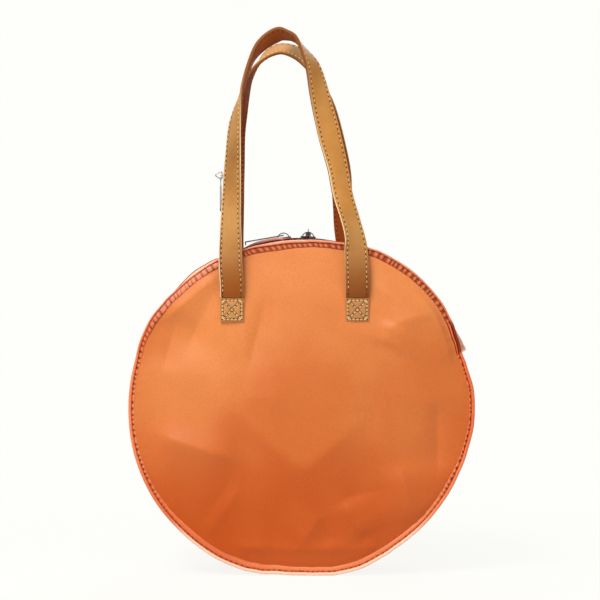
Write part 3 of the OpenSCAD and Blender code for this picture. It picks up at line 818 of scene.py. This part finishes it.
def strap_layer(name, strap, upper):
    """The outer layer of a strap, or its underside."""
    total = strap_length(strap)
    half = STRAP_W / 2
    around = 36 if upper else 24

    def section(v):
        """Place across the strap and height over its middle, once round the layer and closed."""
        k = v * (around + 1)
        k = 0 if k > around + 0.5 else k / around * 2
        if k < 1:
            w = -math.cos(math.pi * k) * half
            edge = half - abs(w)
            round_off = 0.3 * (1 - min(edge / (1.2 * MM), 1)) ** 2
            seam = 0.45 * MM * bell(edge - EDGE_IN, 0.8 * MM)
            swell = 0.3 * MM * smooth(EDGE_IN, half, edge)
            return w, STRAP_LAYER_T * (1 - round_off) - seam + swell
        return math.cos(math.pi * (k - 1)) * half, 0.0

    def place(u, v):
        w, n = section(v)
        return strap_surface(strap, total * u, w, n if upper else -n)

    def raw(u, v):
        """The raw edge, the layer's inner face and the front strap's rubbed left edge."""
        w, n = section(v)
        if n == 0 or half - abs(w) < 0.02 * MM:
            return 1.0
        left_leg = smooth(300 * MM, 200 * MM, total * u) * (strap == "front" and upper)
        return 0.75 * left_leg * smooth(1.7 * MM, 1.0 * MM, half - w)

    def across(u, v):
        w, n = section(v)
        return abs(w) if n > 0 else 0.0

    def tone(u, v):
        """Half the painted brightness, so that lit places can be paler than the dye: painted light and
        shade on the front strap's legs and a painted shadow on the rear strap's top.
        """
        if not upper:
            return 0.5
        p = strap_surface(strap, total * u, 0, 0)
        if strap == "rear":
            at_top = smooth(540 * MM, 560 * MM, p.z)
            # Painted shadow of the front strap on the rear strap's top
            dark = smooth(-22 * MM, -8 * MM, p.x) * smooth(8 * MM, 0, p.x) * at_top
            return 0.5 - 0.24 * dark
        return leg_shading(p.x, p.z) / 2

    def groove(u, v):
        """Painted shade in the deep edge groove low on the front handle's left leg."""
        w, n = section(v)
        from_line = abs(half - 2.1 * MM - w)
        low_leg = smooth(88 * MM, 60 * MM, total * u) * (strap == "front" and upper and n > 0)
        return low_leg * smooth(1.0 * MM, 0.6 * MM, from_line)

    piece = laid_grid(name, 330, around + 1, place, raw=raw, tone=tone, groove=groove,
                      along=lambda u, v: total * u, across=across)
    close_tube(piece)
    return piece


# Stitches of the bag's own seams, of the straps and of the squares: length, thickness and rise
SEAM_STITCH = (2.6 * MM, 0.7 * MM, 0.3 * MM)
STRAP_STITCH = (2.9 * MM, 0.8 * MM, 0.36 * MM)
BOX_STITCH = (3.3 * MM, 1.35 * MM, 0.7 * MM)


def stitch_row(name, spots, length, thick, rise):
    """Stitches on a line: each is a short thread that dips in at both ends."""
    bpy.ops.object.select_all(action="DESELECT")
    bpy.ops.mesh.primitive_cylinder_add(
        vertices=6, radius=thick / 2, depth=length, end_fill_type="TRIFAN")
    one = bpy.context.object
    for cut in (0.3, -0.3):
        edit(one, bpy.ops.mesh.bisect, plane_co=(0, 0, length * cut), plane_no=(0, 0, 1))
    for v in one.data.vertices:
        t = v.co.z / (length / 2)
        v.co.x += rise * (1 - t * t)
        v.co.y *= 1 - 0.3 * t * t
    base = [v.co.copy() for v in one.data.vertices]
    faces = [tuple(p.vertices) for p in one.data.polygons]
    bpy.data.objects.remove(one)
    points, polys = [], []
    for at, run, out in spots:
        run = run.normalized()
        out = (out - run * run.dot(out)).normalized()
        beside = run.cross(out)
        first = len(points)
        points += [at + out * c.x + beside * c.y + run * c.z for c in base]
        polys += [tuple(first + i for i in f) for f in faces]
    mesh = bpy.data.meshes.new(name)
    mesh.from_pydata(points, [], polys)
    mesh.validate()
    piece = bpy.data.objects.new(name, mesh)
    bpy.context.scene.collection.objects.link(piece)
    edit(piece, bpy.ops.mesh.normals_make_consistent, inside=False)
    return piece


def strap_stitches(strap, upper):
    """The two rows along a strap's outer layer or its underside."""
    spots = []
    n = STRAP_LAYER_T * 0.86 * (1 if upper else -1)
    for edge in (-1, 1):
        w = edge * (STRAP_W / 2 - EDGE_IN)
        for i in range(1, int(strap_length(strap) / STITCH_PITCH) - 1):
            at = (i + 0.5) * STITCH_PITCH
            a, b = (strap_surface(strap, at + step, w, n) for step in (-1 * MM, 1 * MM))
            up = strap_surface(strap, at, w, n * 1.6) - strap_surface(strap, at, w, n)
            spots.append(((a + b) / 2, b - a, up))
    return spots


# Sewn strap ends: puffed squares with a crossed box seam. Each row of the seam goes from a place to
# another, in shares of half the box across and up, in a number of stitches
PATCH = 26 * MM
PATCH_T = 2.4 * MM
PATCH_MID_Z = 292 * MM
PATCH_TOP_Y = 48.2656 * MM
BOX_HALF = PATCH / 2 * 0.8
BOX_ROWS = [
    (-1, -1, 1, 1, 7), (-1, 1, 1, -1, 7), (-1, -1, 1, -1, 5), (-1, 1, 1, 1, 5), (-1, -1, -1, 1, 5),
    (1, -1, 1, 1, 5),
]


def box_places():
    """Middles and ends of the stitches of a crossed box seam, across and up from the square's middle."""
    middles, holes = [], []
    for x0, z0, x1, z1, count in BOX_ROWS:
        run = Vector((x1 - x0, 0, z1 - z0)) * BOX_HALF
        first = Vector((x0, 0, z0)) * BOX_HALF
        middles += [(first + run * (i + 0.5) / count, run) for i in range(count)]
        holes += [first + run * i / count for i in range(count + 1)]
    return middles, holes


def patch_height(x, z):
    """Height of the puffed square over its edge and the depth of its seam, at shares across and up."""
    edge = 1 - max(abs(x), abs(z))
    puff = 2.1 * MM * (1 - x ** 4) ** 0.5 * (1 - z ** 4) ** 0.5
    off_cross = min(abs(x - z), abs(x + z)) / 1.414
    cross = bell(off_cross, 0.1) * smooth(0.14, 0.2, edge)
    return puff, max(cross, bell(edge - 0.2, 0.075))


def strap_end(name, leg_x, side):
    """A square end of a strap, sewn down on the panel."""
    _, holes = box_places()

    def place(u, v):
        x, z = u * 2 - 1, v * 2 - 1
        puff, seam = patch_height(x, z)
        y = PATCH_TOP_Y - PATCH_T + puff - 1.2 * MM * seam
        y += 0.3 * MM * crinkle((x * 2.2, z * 2.2, leg_x), 2.0)
        wide = 1 - 0.02 * (1 - z * z)
        return Vector((leg_x + x * wide * PATCH / 2, side * y, PATCH_MID_Z + z * PATCH / 2))

    def fold(u, v):
        x, z = (u - 0.5) * PATCH, (v - 0.5) * PATCH
        # Painted shade in the box seam and along the square's side and top edges; the stitch holes are dark
        nearest = min((x - h.x) ** 2 + (z - h.z) ** 2 for h in holes) ** 0.5
        edge_shade = 0.35 * smooth(0.96, 1, max(abs(u * 2 - 1), v * 2 - 1))
        _, seam = patch_height(u * 2 - 1, v * 2 - 1)
        return max(0.3 * seam, smooth(1.5 * MM, 0.95 * MM, nearest), edge_shade)

    return sheet(name, 90, 90, place, middle_behind, PATCH_T, fold=fold)


def patch_stitches(leg_x, side):
    """The stitches of a square's crossed box seam."""
    spots = []
    middles, _ = box_places()
    for at, run in middles:
        puff, _ = patch_height(at.x / (PATCH / 2), at.z / (PATCH / 2))
        y = PATCH_TOP_Y - PATCH_T + puff - 1 * MM
        spots.append((Vector((leg_x + at.x, side * y, PATCH_MID_Z + at.z)), run, Vector((0, side, 0))))
    return spots


# Finishes
def new_material(name):
    material = bpy.data.materials.new(name)
    material.use_nodes = True
    tree = material.node_tree
    return material, tree, tree.nodes["Principled BSDF"]


def linear(r, g, b):
    """An sRGB colour out of 255 as the renderer's own."""
    def one(c):
        share = c / 255
        return share / 12.92 if share <= 0.04045 else ((share + 0.055) / 1.055) ** 2.4
    return (one(r), one(g), one(b), 1.0)


def feed(tree, item, values):
    """Gives the inputs of a node numbers, colours or the outputs of other nodes."""
    for label, value in values.items():
        socket = item.inputs[label]
        if hasattr(value, "is_output"):
            tree.links.new(value, socket)
        else:
            socket.default_value = value


def node(tree, kind, inputs=None, **settings):
    item = tree.nodes.new(kind)
    for key, value in settings.items():
        setattr(item, key, value)
    feed(tree, item, inputs or {})
    return item


def object_place(tree):
    return node(tree, "ShaderNodeTexCoord").outputs["Object"]


def kept(tree, mark):
    """What a piece keeps at each point under a mark's name."""
    return node(tree, "ShaderNodeAttribute", attribute_name=mark).outputs["Fac"]


def maths(tree, operation, *values):
    return node(tree, "ShaderNodeMath", dict(enumerate(values)), operation=operation).outputs[0]


def ramp(tree, value, near, far, low=0.0, high=1.0, kind="SMOOTHSTEP"):
    """The way of a value from near to far, as one from low to high."""
    inputs = {"Value": value, "From Min": near, "From Max": far, "To Min": low, "To Max": high}
    return node(tree, "ShaderNodeMapRange", inputs, interpolation_type=kind).outputs["Result"]


def between(tree, share, low, high):
    """A share from 0 to 1 as a value from low to high."""
    return ramp(tree, share, 0.0, 1.0, low, high, "LINEAR")


def blend_colours(tree, a, b, factor, kind="MIX"):
    inputs = {"A": a, "B": b, "Factor": factor}
    return node(tree, "ShaderNodeMix", inputs, data_type="RGBA", blend_type=kind).outputs["Result"]


def dented(tree, height, strength, distance):
    """The normal of a surface with this height on it."""
    inputs = {"Height": height, "Strength": strength, "Distance": distance}
    return node(tree, "ShaderNodeBump", inputs).outputs["Normal"]


def fine_noise(tree, place, scale, detail):
    inputs = {"Vector": place, "Scale": scale, "Detail": detail}
    return node(tree, "ShaderNodeTexNoise", inputs).outputs["Fac"]


# Effects that several materials share
def group(name, inputs, outputs):
    """A node group with its named inputs and outputs, each of them a colour, a place or a number."""
    tree = bpy.data.node_groups.new(name, "ShaderNodeTree")
    for label, kind, value in inputs:
        socket = tree.interface.new_socket(name=label, in_out="INPUT", socket_type="NodeSocket" + kind)
        if value is not None:
            socket.default_value = value
    for label, kind in outputs:
        tree.interface.new_socket(name=label, in_out="OUTPUT", socket_type="NodeSocket" + kind)
    return tree, tree.nodes.new("NodeGroupInput").outputs, tree.nodes.new("NodeGroupOutput")


def place_group(tree, shared, **inputs):
    item = tree.nodes.new("ShaderNodeGroup")
    item.node_tree = shared
    feed(tree, item, inputs)
    return item.outputs


def make_grain_group():
    """Pebbled leather grain: its height, and a mask of the fine valleys."""
    tree, given, out = group(
        "leather_grain",
        [("Vector", "Vector", None), ("Scale", "Float", 900.0), ("Crease", "Float", 0.3)],
        [("Height", "Float"), ("Valley", "Float")])
    bend = node(tree, "ShaderNodeTexNoise", {"Vector": given["Vector"], "Scale": 160.0, "Detail": 3.0})
    shift = node(tree, "ShaderNodeVectorMath",
                 {0: bend.outputs["Color"], 1: (0.0012, 0.0012, 0.0012), 2: given["Vector"]},
                 operation="MULTIPLY_ADD")
    cells = node(tree, "ShaderNodeTexVoronoi", {"Vector": shift.outputs[0], "Scale": given["Scale"]},
                 feature="DISTANCE_TO_EDGE")
    pebble = ramp(tree, cells.outputs["Distance"], 0.0, 0.32)
    fine = fine_noise(tree, given["Vector"], 2600.0, 2.0)
    height = maths(tree, "MULTIPLY_ADD", fine, given["Crease"], pebble)
    feed(tree, out, {"Height": height, "Valley": maths(tree, "SUBTRACT", 1.0, pebble)})
    return tree


def make_mottle_group():
    """Slow uneven colouring between two tones."""
    tree, given, out = group(
        "uneven_dye",
        [("Vector", "Vector", None), ("Scale", "Float", 9.0), ("Pale", "Color", (1, 1, 1, 1)),
         ("Deep", "Color", (0, 0, 0, 1))],
        [("Color", "Color"), ("Share", "Float")])
    slow = node(tree, "ShaderNodeTexNoise", {
        "Vector": given["Vector"], "Scale": given["Scale"], "Detail": 3.0, "Roughness": 0.45})
    share = ramp(tree, slow.outputs["Fac"], 0.34, 0.68)
    feed(tree, out, {"Color": blend_colours(tree, given["Deep"], given["Pale"], share), "Share": share})
    return tree


def make_weave_group():
    """Plain weave: the height of two crossing waves of threads, and a tone that also changes slowly."""
    tree, given, out = group(
        "plain_weave",
        [("Vector", "Vector", None), ("Count", "Float", 300.0)],
        [("Height", "Float"), ("Tone", "Float")])
    inputs = {"Vector": given["Vector"], "Scale": given["Count"], "Distortion": 0.6, "Detail Scale": 3.0}
    waves = [node(tree, "ShaderNodeTexWave", inputs, wave_type="BANDS", bands_direction=way).outputs["Fac"]
             for way in ("X", "Y")]
    threads = maths(tree, "MULTIPLY", *waves)
    slow = maths(tree, "MULTIPLY", fine_noise(tree, given["Vector"], 30.0, 3.0), 0.5)
    feed(tree, out, {"Height": threads, "Tone": maths(tree, "MULTIPLY_ADD", threads, 0.6, slow)})
    return tree


def make_plate_group():
    """Wear of plated metal: a mask of soft smears and the height of fine scratches."""
    tree, given, out = group(
        "plate_wear", [("Vector", "Vector", None)], [("Smear", "Float"), ("Scratch", "Float")])
    feed(tree, out, {"Smear": fine_noise(tree, given["Vector"], 240.0, 4.0),
                     "Scratch": fine_noise(tree, given["Vector"], 1500.0, 2.0)})
    return tree


def make_twist_group():
    """Mask of the twisted strands of a thread."""
    tree, given, out = group("thread_twist", [("Vector", "Vector", None)], [("Twist", "Float")])
    twist = node(tree, "ShaderNodeTexWave", {"Vector": given["Vector"], "Scale": 1100.0},
                 wave_type="BANDS", bands_direction="DIAGONAL")
    feed(tree, out, {"Twist": twist.outputs["Fac"]})
    return tree


def make_stitch_hole_group():
    """Mask of the holes between the stitches of a row, from the lengths along and across a strap."""
    tree, given, out = group(
        "stitch_holes",
        [("Along", "Float", 0.0), ("Across", "Float", 0.0), ("Pitch", "Float", 0.005),
         ("Line", "Float", 0.01)],
        [("Hole", "Float")])
    phase = maths(tree, "FRACT", maths(tree, "DIVIDE", given["Along"], given["Pitch"]))
    from_middle = maths(tree, "ABSOLUTE", maths(tree, "SUBTRACT", phase, 0.5))
    from_hole = maths(tree, "SUBTRACT", 0.5, from_middle)
    off_line = maths(tree, "ABSOLUTE", maths(tree, "SUBTRACT", given["Across"], given["Line"]))
    pierced = maths(tree, "MULTIPLY", ramp(tree, from_hole, 0.2, 0.12), 0.7)
    depth = maths(tree, "ADD", pierced, 0.3)
    on_line = ramp(tree, off_line, 1 * MM, 0.5 * MM)
    feed(tree, out, {"Hole": maths(tree, "MULTIPLY", depth, on_line)})
    return tree


GRAIN = make_grain_group()
MOTTLE = make_mottle_group()
WEAVE = make_weave_group()
PLATE_WEAR = make_plate_group()
TWIST = make_twist_group()
STITCH_HOLES = make_stitch_hole_group()

# Heights between which the skin darkens into its painted low shade, the straps into a painted shade near
# their sewn ends, and their edges darken
LOW_SHADE_Z = (270 * MM, 30 * MM)
END_SHADE_Z = (398 * MM, 302 * MM)
EDGE_PAINT_Z = (460 * MM, 560 * MM)


def leather(name, pale, deep, fold_shade_and_grain_colour, roughness, grain, bump, fold_shade_share=0.8, low=None,
            low_shine=1.0, raw=None):
    """Smooth coated leather: uneven dye, fine grain and painted shade in its folds.

    With low it takes a painted shade, deeper and duller low on the bag, spared where a piece marks painted
    light as pale; with raw, its cut edges and any painted sheen that a piece marks are pale."""
    material, tree, shader = new_material(name)
    place = object_place(tree)
    dye = place_group(tree, MOTTLE, Vector=place, Scale=7.0, Pale=pale, Deep=deep)
    skin = place_group(tree, GRAIN, Vector=place, Scale=grain, Crease=0.25)
    folded = kept(tree, "fold")
    colour, shine = dye["Color"], between(tree, folded, 0.34, 0.05)
    # Painted shade: the skin turns deeper and duller low on the bag, except inside the front's V
    if low is not None:
        height = node(tree, "ShaderNodeSeparateXYZ", {0: place}).outputs["Z"]
        down = ramp(tree, height, *LOW_SHADE_Z, high=0.75)
        spared = maths(tree, "SUBTRACT", 1.0, kept(tree, "pale"))
        colour = blend_colours(tree, colour, low, maths(tree, "MULTIPLY", down, spared))
        shine = maths(tree, "MULTIPLY", shine, between(tree, down, 1.0, low_shine))
    # Painted shade where a piece marks its folds, valleys and grooves; the same colour darkens the grain
    colour = blend_colours(tree, colour, fold_shade_and_grain_colour, maths(tree, "MULTIPLY", folded, fold_shade_share))
    colour = blend_colours(tree, colour, fold_shade_and_grain_colour, maths(tree, "MULTIPLY", skin["Valley"], 0.22))
    # Pale cut edges, and the painted sheen that a rim marks as raw
    if raw is not None:
        colour = blend_colours(tree, colour, raw, kept(tree, "raw"))
    feed(tree, shader, {
        "Base Color": colour,
        "Roughness": between(tree, dye["Share"], roughness + 0.07, roughness - 0.05),
        "Specular IOR Level": shine,
        "Normal": dented(tree, skin["Height"], bump, 0.3 * MM)})
    return material


def strap_leather(name, pale, deep, end_shade_and_grain_colour, raw, roughness, shine):
    """Strap leather: a painted shade toward its sewn ends, painted light and shade from its tone mark,
    pierced by its stitches, with a raw edge.
    """
    material, tree, shader = new_material(name)
    place = object_place(tree)
    height = node(tree, "ShaderNodeSeparateXYZ", {0: place}).outputs["Z"]
    dye = place_group(tree, MOTTLE, Vector=place, Scale=16.0, Pale=pale, Deep=deep)
    skin = place_group(tree, GRAIN, Vector=place, Scale=1250.0, Crease=0.35)
    holes = place_group(tree, STITCH_HOLES, Along=kept(tree, "along"), Across=kept(tree, "across"),
                        Pitch=STITCH_PITCH, Line=STRAP_W / 2 - EDGE_IN)
    # Painted shade, darker toward the sewn ends; the same brown darkens the grain
    colour = blend_colours(tree, dye["Color"], end_shade_and_grain_colour, ramp(tree, height, *END_SHADE_Z, high=0.92))
    colour = blend_colours(tree, colour, end_shade_and_grain_colour, maths(tree, "MULTIPLY", skin["Valley"], 0.2))
    # The tone mark is painted light and shade
    painted_light = node(tree, "ShaderNodeAttribute", attribute_name="tone").outputs["Color"]
    double = node(tree, "ShaderNodeVectorMath", {0: painted_light, "Scale": 2.0}, operation="SCALE")
    colour = blend_colours(tree, colour, double.outputs[0], 1.0, "MULTIPLY")
    colour = blend_colours(tree, colour, linear(78, 36, 10), holes["Hole"])
    # Painted shade in the left leg's edge groove
    colour = blend_colours(tree, colour, linear(92, 24, 4), kept(tree, "groove"))
    painted = blend_colours(tree, raw, linear(126, 74, 34), ramp(tree, height, *EDGE_PAINT_Z))
    colour = blend_colours(tree, colour, painted, kept(tree, "raw"))
    relief = maths(tree, "SUBTRACT", skin["Height"], holes["Hole"])
    feed(tree, shader, {
        "Base Color": colour,
        "Roughness": between(tree, dye["Share"], roughness + 0.06, roughness - 0.06),
        "Specular IOR Level": shine,
        "Normal": dented(tree, relief, 0.3, 0.4 * MM)})
    return material


def woven(name, pale, deep, count, strength, painted_light=None):
    """Plain woven cloth. The last colour, if given, paints a highlight on the crests that a piece marks."""
    material, tree, shader = new_material(name)
    weave = place_group(tree, WEAVE, Vector=object_place(tree), Count=count)
    colour = blend_colours(tree, deep, pale, weave["Tone"])
    # Painted highlight on the marked crests
    if painted_light is not None:
        colour = blend_colours(tree, colour, painted_light, kept(tree, "trim"))
    feed(tree, shader, {
        "Base Color": colour, "Roughness": 0.85, "Specular IOR Level": 0.12, "Sheen Weight": 0.04,
        "Normal": dented(tree, weave["Height"], strength, 0.2 * MM)})
    return material


def thread_finish(name, pale, deep):
    """Twisted sewing thread."""
    material, tree, shader = new_material(name)
    twist = place_group(tree, TWIST, Vector=object_place(tree))["Twist"]
    feed(tree, shader, {
        "Base Color": blend_colours(tree, deep, pale, twist), "Roughness": 0.6,
        "Normal": dented(tree, twist, 0.4, 0.1 * MM)})
    return material


def metal(name, colour, roughness):
    """Plated metal with soft wear and fine scratches."""
    material, tree, shader = new_material(name)
    wear = place_group(tree, PLATE_WEAR, Vector=object_place(tree))
    dull = tuple(c * 0.55 for c in colour[:3]) + (1.0,)
    feed(tree, shader, {
        "Base Color": blend_colours(tree, colour, dull, between(tree, wear["Smear"], 0.0, 0.5)),
        "Roughness": between(tree, wear["Smear"], roughness - 0.06, roughness + 0.12), "Metallic": 1.0,
        "Normal": dented(tree, wear["Scratch"], 0.12, 0.1 * MM)})
    return material


# Panels and side bands
# The low colour is a painted shade low on the bag
SKIN = leather("orange_leather", linear(222, 133, 66), linear(204, 107, 41), linear(120, 42, 8),
               0.42, 820.0, 0.16, low=linear(188, 68, 2), low_shine=0.35)
# Gathered rims and the covers of the zip's ends, in a dye paler than the skin's as painted light, with
# painted shade in their folds and a pale colour for raw edges and painted sheen
RIM = leather("rim_leather", linear(244, 142, 90), linear(224, 110, 58), linear(112, 24, 0),
              0.4, 900.0, 0.2, fold_shade_share=0.97, raw=linear(250, 220, 192))
# Both layers of the straps
# The third colour of each is a painted shade near the sewn ends and in the grain
STRAP = strap_leather("tan_strap_leather", linear(202, 150, 84), linear(180, 122, 56),
                      linear(134, 64, 4), linear(232, 200, 160), 0.48, 0.17)
UNDER = strap_leather("brown_strap_underside", linear(168, 88, 26), linear(138, 62, 10),
                      linear(96, 34, 0), linear(96, 44, 14), 0.6, 0.08)
# The squares at the straps' ends, with painted shade in their box seams and along their edges
SEWN_END = leather("sewn_end_leather", linear(196, 134, 72), linear(164, 98, 40), linear(62, 20, 2),
                   0.5, 1250.0, 0.3, fold_shade_share=0.97)
# Cloths and foam
LINING = woven("maroon_lining", linear(112, 22, 18), linear(74, 10, 6), 420.0, 0.4)
# The zip tape's last colour is a painted highlight on its crest
TAPE = woven("maroon_zip_tape", linear(104, 16, 12), linear(66, 6, 3), 330.0, 0.8,
             linear(214, 150, 140))
FOAM = woven("pale_foam", linear(236, 226, 206), linear(214, 200, 176), 150.0, 0.5)
# Threads of the straps' faces, of their undersides and of the bag
CREAM_THREAD = thread_finish("cream_thread", linear(240, 204, 144), linear(206, 158, 96))
BROWN_THREAD = thread_finish("brown_thread", linear(160, 96, 46), linear(118, 62, 26))
RUST_THREAD = thread_finish("rust_thread", linear(214, 112, 60), linear(160, 66, 26))
# The zip's metal, and that of the hanging tag and its ring
ZIP_METAL = metal("plated_zip_metal", linear(84, 80, 78), 0.26)
TAG_METAL = metal("plated_tag_metal", linear(146, 142, 136), 0.36)


# Building
def build_panel(name, rim, creases, side):
    """The front or the back: skin, padding, lining and the gathered rim round them."""
    layers = (
        ("_skin", "skin", SKIN, "_panel", 0, SKIN_SHOWN, 2.4 * MM, 96),
        ("_padding", "foam", FOAM, "_foam", SKIN_T, FOAM_SHOWN, -1 * MM, 48),
        ("_inner_cloth", "lining", LINING, "_lining", SKIN_T + FOAM_T, LINING_SHOWN, -1 * MM, 48))
    for label, slot, finish, stands_for, depth, thickness, reach, steps in layers:
        piece = panel_layer(name + label, rim, creases, side, depth, thickness, reach, steps)
        finish_piece(piece, slot, finish, name + stands_for)
    edge = binding(name + "_gathered_rim", rim, side, 3.0 if side < 0 else 9.0)
    finish_piece(edge, "piping", RIM, name + "_piping", name + "_piping_cord")


def build_lower_band():
    for name, depth, thickness, slot, finish, stands_for in (
            ("lower_band_skin", 0, SKIN_SHOWN, "skin", SKIN, "lower_gusset"),
            ("lower_band_padding", SKIN_T, FOAM_SHOWN, "foam", FOAM, "lower_foam"),
            ("lower_band_cloth", SKIN_T + FOAM_T, LINING_SHOWN, "lining", LINING, "lower_lining")):
        piece = lower_layer(name, depth, thickness, BAND_Y - depth)
        finish_piece(piece, slot, finish, stands_for)


def build_zip_side(name, side):
    """The strip beside the zip and its tape, in front or at the rear."""
    for label, slot, finish, stands_for, edge_y, depth, thickness, hem in (
            ("_zip_band", "skin", SKIN, "zip_gusset_", ZIP_EDGE_Y, 0, SKIN_T, True),
            ("_zip_padding", "foam", FOAM, "zip_foam_", TAPE_LAP_Y, SKIN_T, FOAM_SHOWN, False),
            ("_zip_cloth", "lining", LINING, "zip_lining_", ZIP_EDGE_Y, SKIN_T + FOAM_T, LINING_SHOWN,
             False)):
        piece = zip_band_layer(name + label, side, edge_y, depth, thickness, hem)
        finish_piece(piece, slot, finish, stands_for + name)
    tape = zip_tape(name + "_zip_cloth_tape", side)
    finish_piece(tape, "zip_tape", TAPE, "zip_tape_" + name)


def build_end_covers():
    for name, sign in (("left", -1), ("right", 1)):
        finish_piece(end_tab(name + "_zip_end_cover", sign), "skin", RIM, "zip_end_tabs")


def build_body_seams():
    for name, spots in (("end_cover_stitches", tab_stitches()), ("zip_hem_stitches", hem_stitches())):
        finish_piece(stitch_row(name, spots, *SEAM_STITCH), "thread", RUST_THREAD)


def hold_strap(piece):
    """Bakes a strap piece's placement into its mesh."""
    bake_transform(piece)


def build_strap(strap):
    """Both layers of a strap, each with its two rows of stitches."""
    for part, node_end, upper, finish, thread in (
            ("strap", "", True, STRAP, CREAM_THREAD),
            ("strap_underside", "_underside", False, UNDER, BROWN_THREAD)):
        piece = strap_layer(f"{strap}_{part}", strap, upper)
        dress(piece, part, finish, f"{strap}_handle{node_end}", angle=50)
        hold_strap(piece)
        seam = stitch_row(f"{strap}_{part}_stitches", strap_stitches(strap, upper), *STRAP_STITCH)
        seam.data.materials.append(thread)
        hold_strap(seam)


def build_sewn_ends(strap):
    side = -1 if strap == "front" else 1
    spots = []
    for label, leg_x in (("left", LEFT_LEG_X), ("right", RIGHT_LEG_X)):
        piece = strap_end(f"{strap}_{label}_sewn_end", leg_x, side)
        finish_piece(piece, "strap", SEWN_END, strap + "_strap_ends")
        spots += patch_stitches(leg_x, side)
    finish_piece(stitch_row(strap + "_box_stitches", spots, *BOX_STITCH), "thread", CREAM_THREAD)


def dress_hardware():
    """Gives the part's own zip, ring, tag and loop their metal or thread."""
    zip_parts = ("zip_teeth_front", "zip_teeth_rear", "zip_stops", "left_slider", "right_slider",
                 "left_pull", "right_pull")
    tag_parts = ("hang_ring", "hang_tag")
    for names, finish in ((zip_parts, ZIP_METAL), (tag_parts, TAG_METAL), (("hang_loop",), CREAM_THREAD)):
        for name in names:
            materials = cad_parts[name].data.materials
            materials.clear()
            materials.append(finish)


# Stage
PAPER_WHITE = linear(254, 254, 250)
SENSOR_W = 36
CAMERA_AWAY = 1650 * MM
# Width of the picture at the front face of the bag
FIELD_W = 657 * MM
FRONT_Y = -47 * MM
EYE_X, EYE_Z = -2.2 * MM, 302.8 * MM
# Lamps: place, what they point at, side in metres and power in watts
LAMPS = {
    "soft_box_above": ((-0.75, -1.05, 1.8), (0, 0, 0.2), 0.8, 34),
    "soft_box_front": ((-0.5, -2.1, 1.25), (0, 0, 0.2), 0.9, 13),
    "soft_box_right": ((1.5, -1.2, 0.9), (0, 0, 0.25), 1.1, 7),
    "soft_box_left": ((-1.6, -0.5, 0.7), (0, 0, 0.25), 1.1, 3),
    "soft_box_behind": ((0.2, 1.3, 1.3), (0, 0, 0.3), 1.2, 12),
}


def build_camera():
    lens = bpy.data.cameras.new("camera")
    lens.sensor_width = SENSOR_W
    lens.lens = SENSOR_W * CAMERA_AWAY / FIELD_W
    camera = bpy.data.objects.new("camera", lens)
    bpy.context.scene.collection.objects.link(camera)
    camera.location = (EYE_X, FRONT_Y - CAMERA_AWAY, EYE_Z)
    camera.rotation_euler = (math.pi / 2, 0, 0)
    bpy.context.scene.camera = camera


def seen_or_mirrored(tree):
    """1 for what the camera sees, straight or in a shiny or clear surface."""
    path = node(tree, "ShaderNodeLightPath").outputs
    shiny = maths(tree, "MAXIMUM", path["Is Camera Ray"], path["Is Glossy Ray"])
    return maths(tree, "MAXIMUM", shiny, path["Is Transmission Ray"])


def build_floor():
    """A pale floor that takes the bag's shadow near it and is plain white farther out."""
    bpy.ops.mesh.primitive_grid_add(x_subdivisions=4, y_subdivisions=4, size=24)
    floor = bpy.context.object
    floor.name = "floor"
    material, tree, shader = new_material("pale_floor")
    feed(tree, shader, {"Base Color": (0.84, 0.84, 0.82, 1), "Roughness": 0.9})
    glow = node(tree, "ShaderNodeEmission", {"Color": PAPER_WHITE})
    reach = node(tree, "ShaderNodeVectorMath", {0: object_place(tree)}, operation="LENGTH")
    away = ramp(tree, reach.outputs["Value"], 0.12, 0.7, low=0.9)
    share = maths(tree, "MULTIPLY", away, seen_or_mirrored(tree))
    both = node(tree, "ShaderNodeMixShader", {0: share, 1: shader.outputs[0], 2: glow.outputs[0]})
    feed(tree, tree.nodes["Material Output"], {"Surface": both.outputs[0]})
    floor.data.materials.append(material)


def build_world():
    """A weak even light all round, seen as plain white."""
    world = bpy.data.worlds.new("studio")
    bpy.context.scene.world = world
    world.use_nodes = True
    tree = world.node_tree
    soft = tree.nodes["Background"]
    feed(tree, soft, {"Color": (1, 1, 1, 1), "Strength": 0.2})
    white = node(tree, "ShaderNodeBackground", {"Color": PAPER_WHITE})
    both = node(tree, "ShaderNodeMixShader",
                {0: seen_or_mirrored(tree), 1: soft.outputs[0], 2: white.outputs[0]})
    feed(tree, tree.nodes["World Output"], {"Surface": both.outputs[0]})


def build_lamps():
    for name, (place, aim, size, power) in LAMPS.items():
        lamp = bpy.data.lights.new(name, "AREA")
        lamp.shape = "SQUARE"
        lamp.size = size
        lamp.energy = power
        holder = bpy.data.objects.new(name, lamp)
        bpy.context.scene.collection.objects.link(holder)
        holder.location = place
        holder.rotation_euler = (Vector(aim) - Vector(place)).to_track_quat("-Z", "Y").to_euler()


build_panel("front", RIM_FRONT, FRONT_CREASES, -1)
build_panel("back", RIM_BACK, BACK_CREASES, 1)
build_lower_band()
build_zip_side("front", -1)
build_zip_side("rear", 1)
build_end_covers()
build_body_seams()
measure_straps()
for strap in ROUTES:
    build_strap(strap)
    build_sewn_ends(strap)
dress_hardware()
bpy.context.scene.view_settings.view_transform = "Standard"
build_camera()
build_floor()
build_world()
build_lamps()
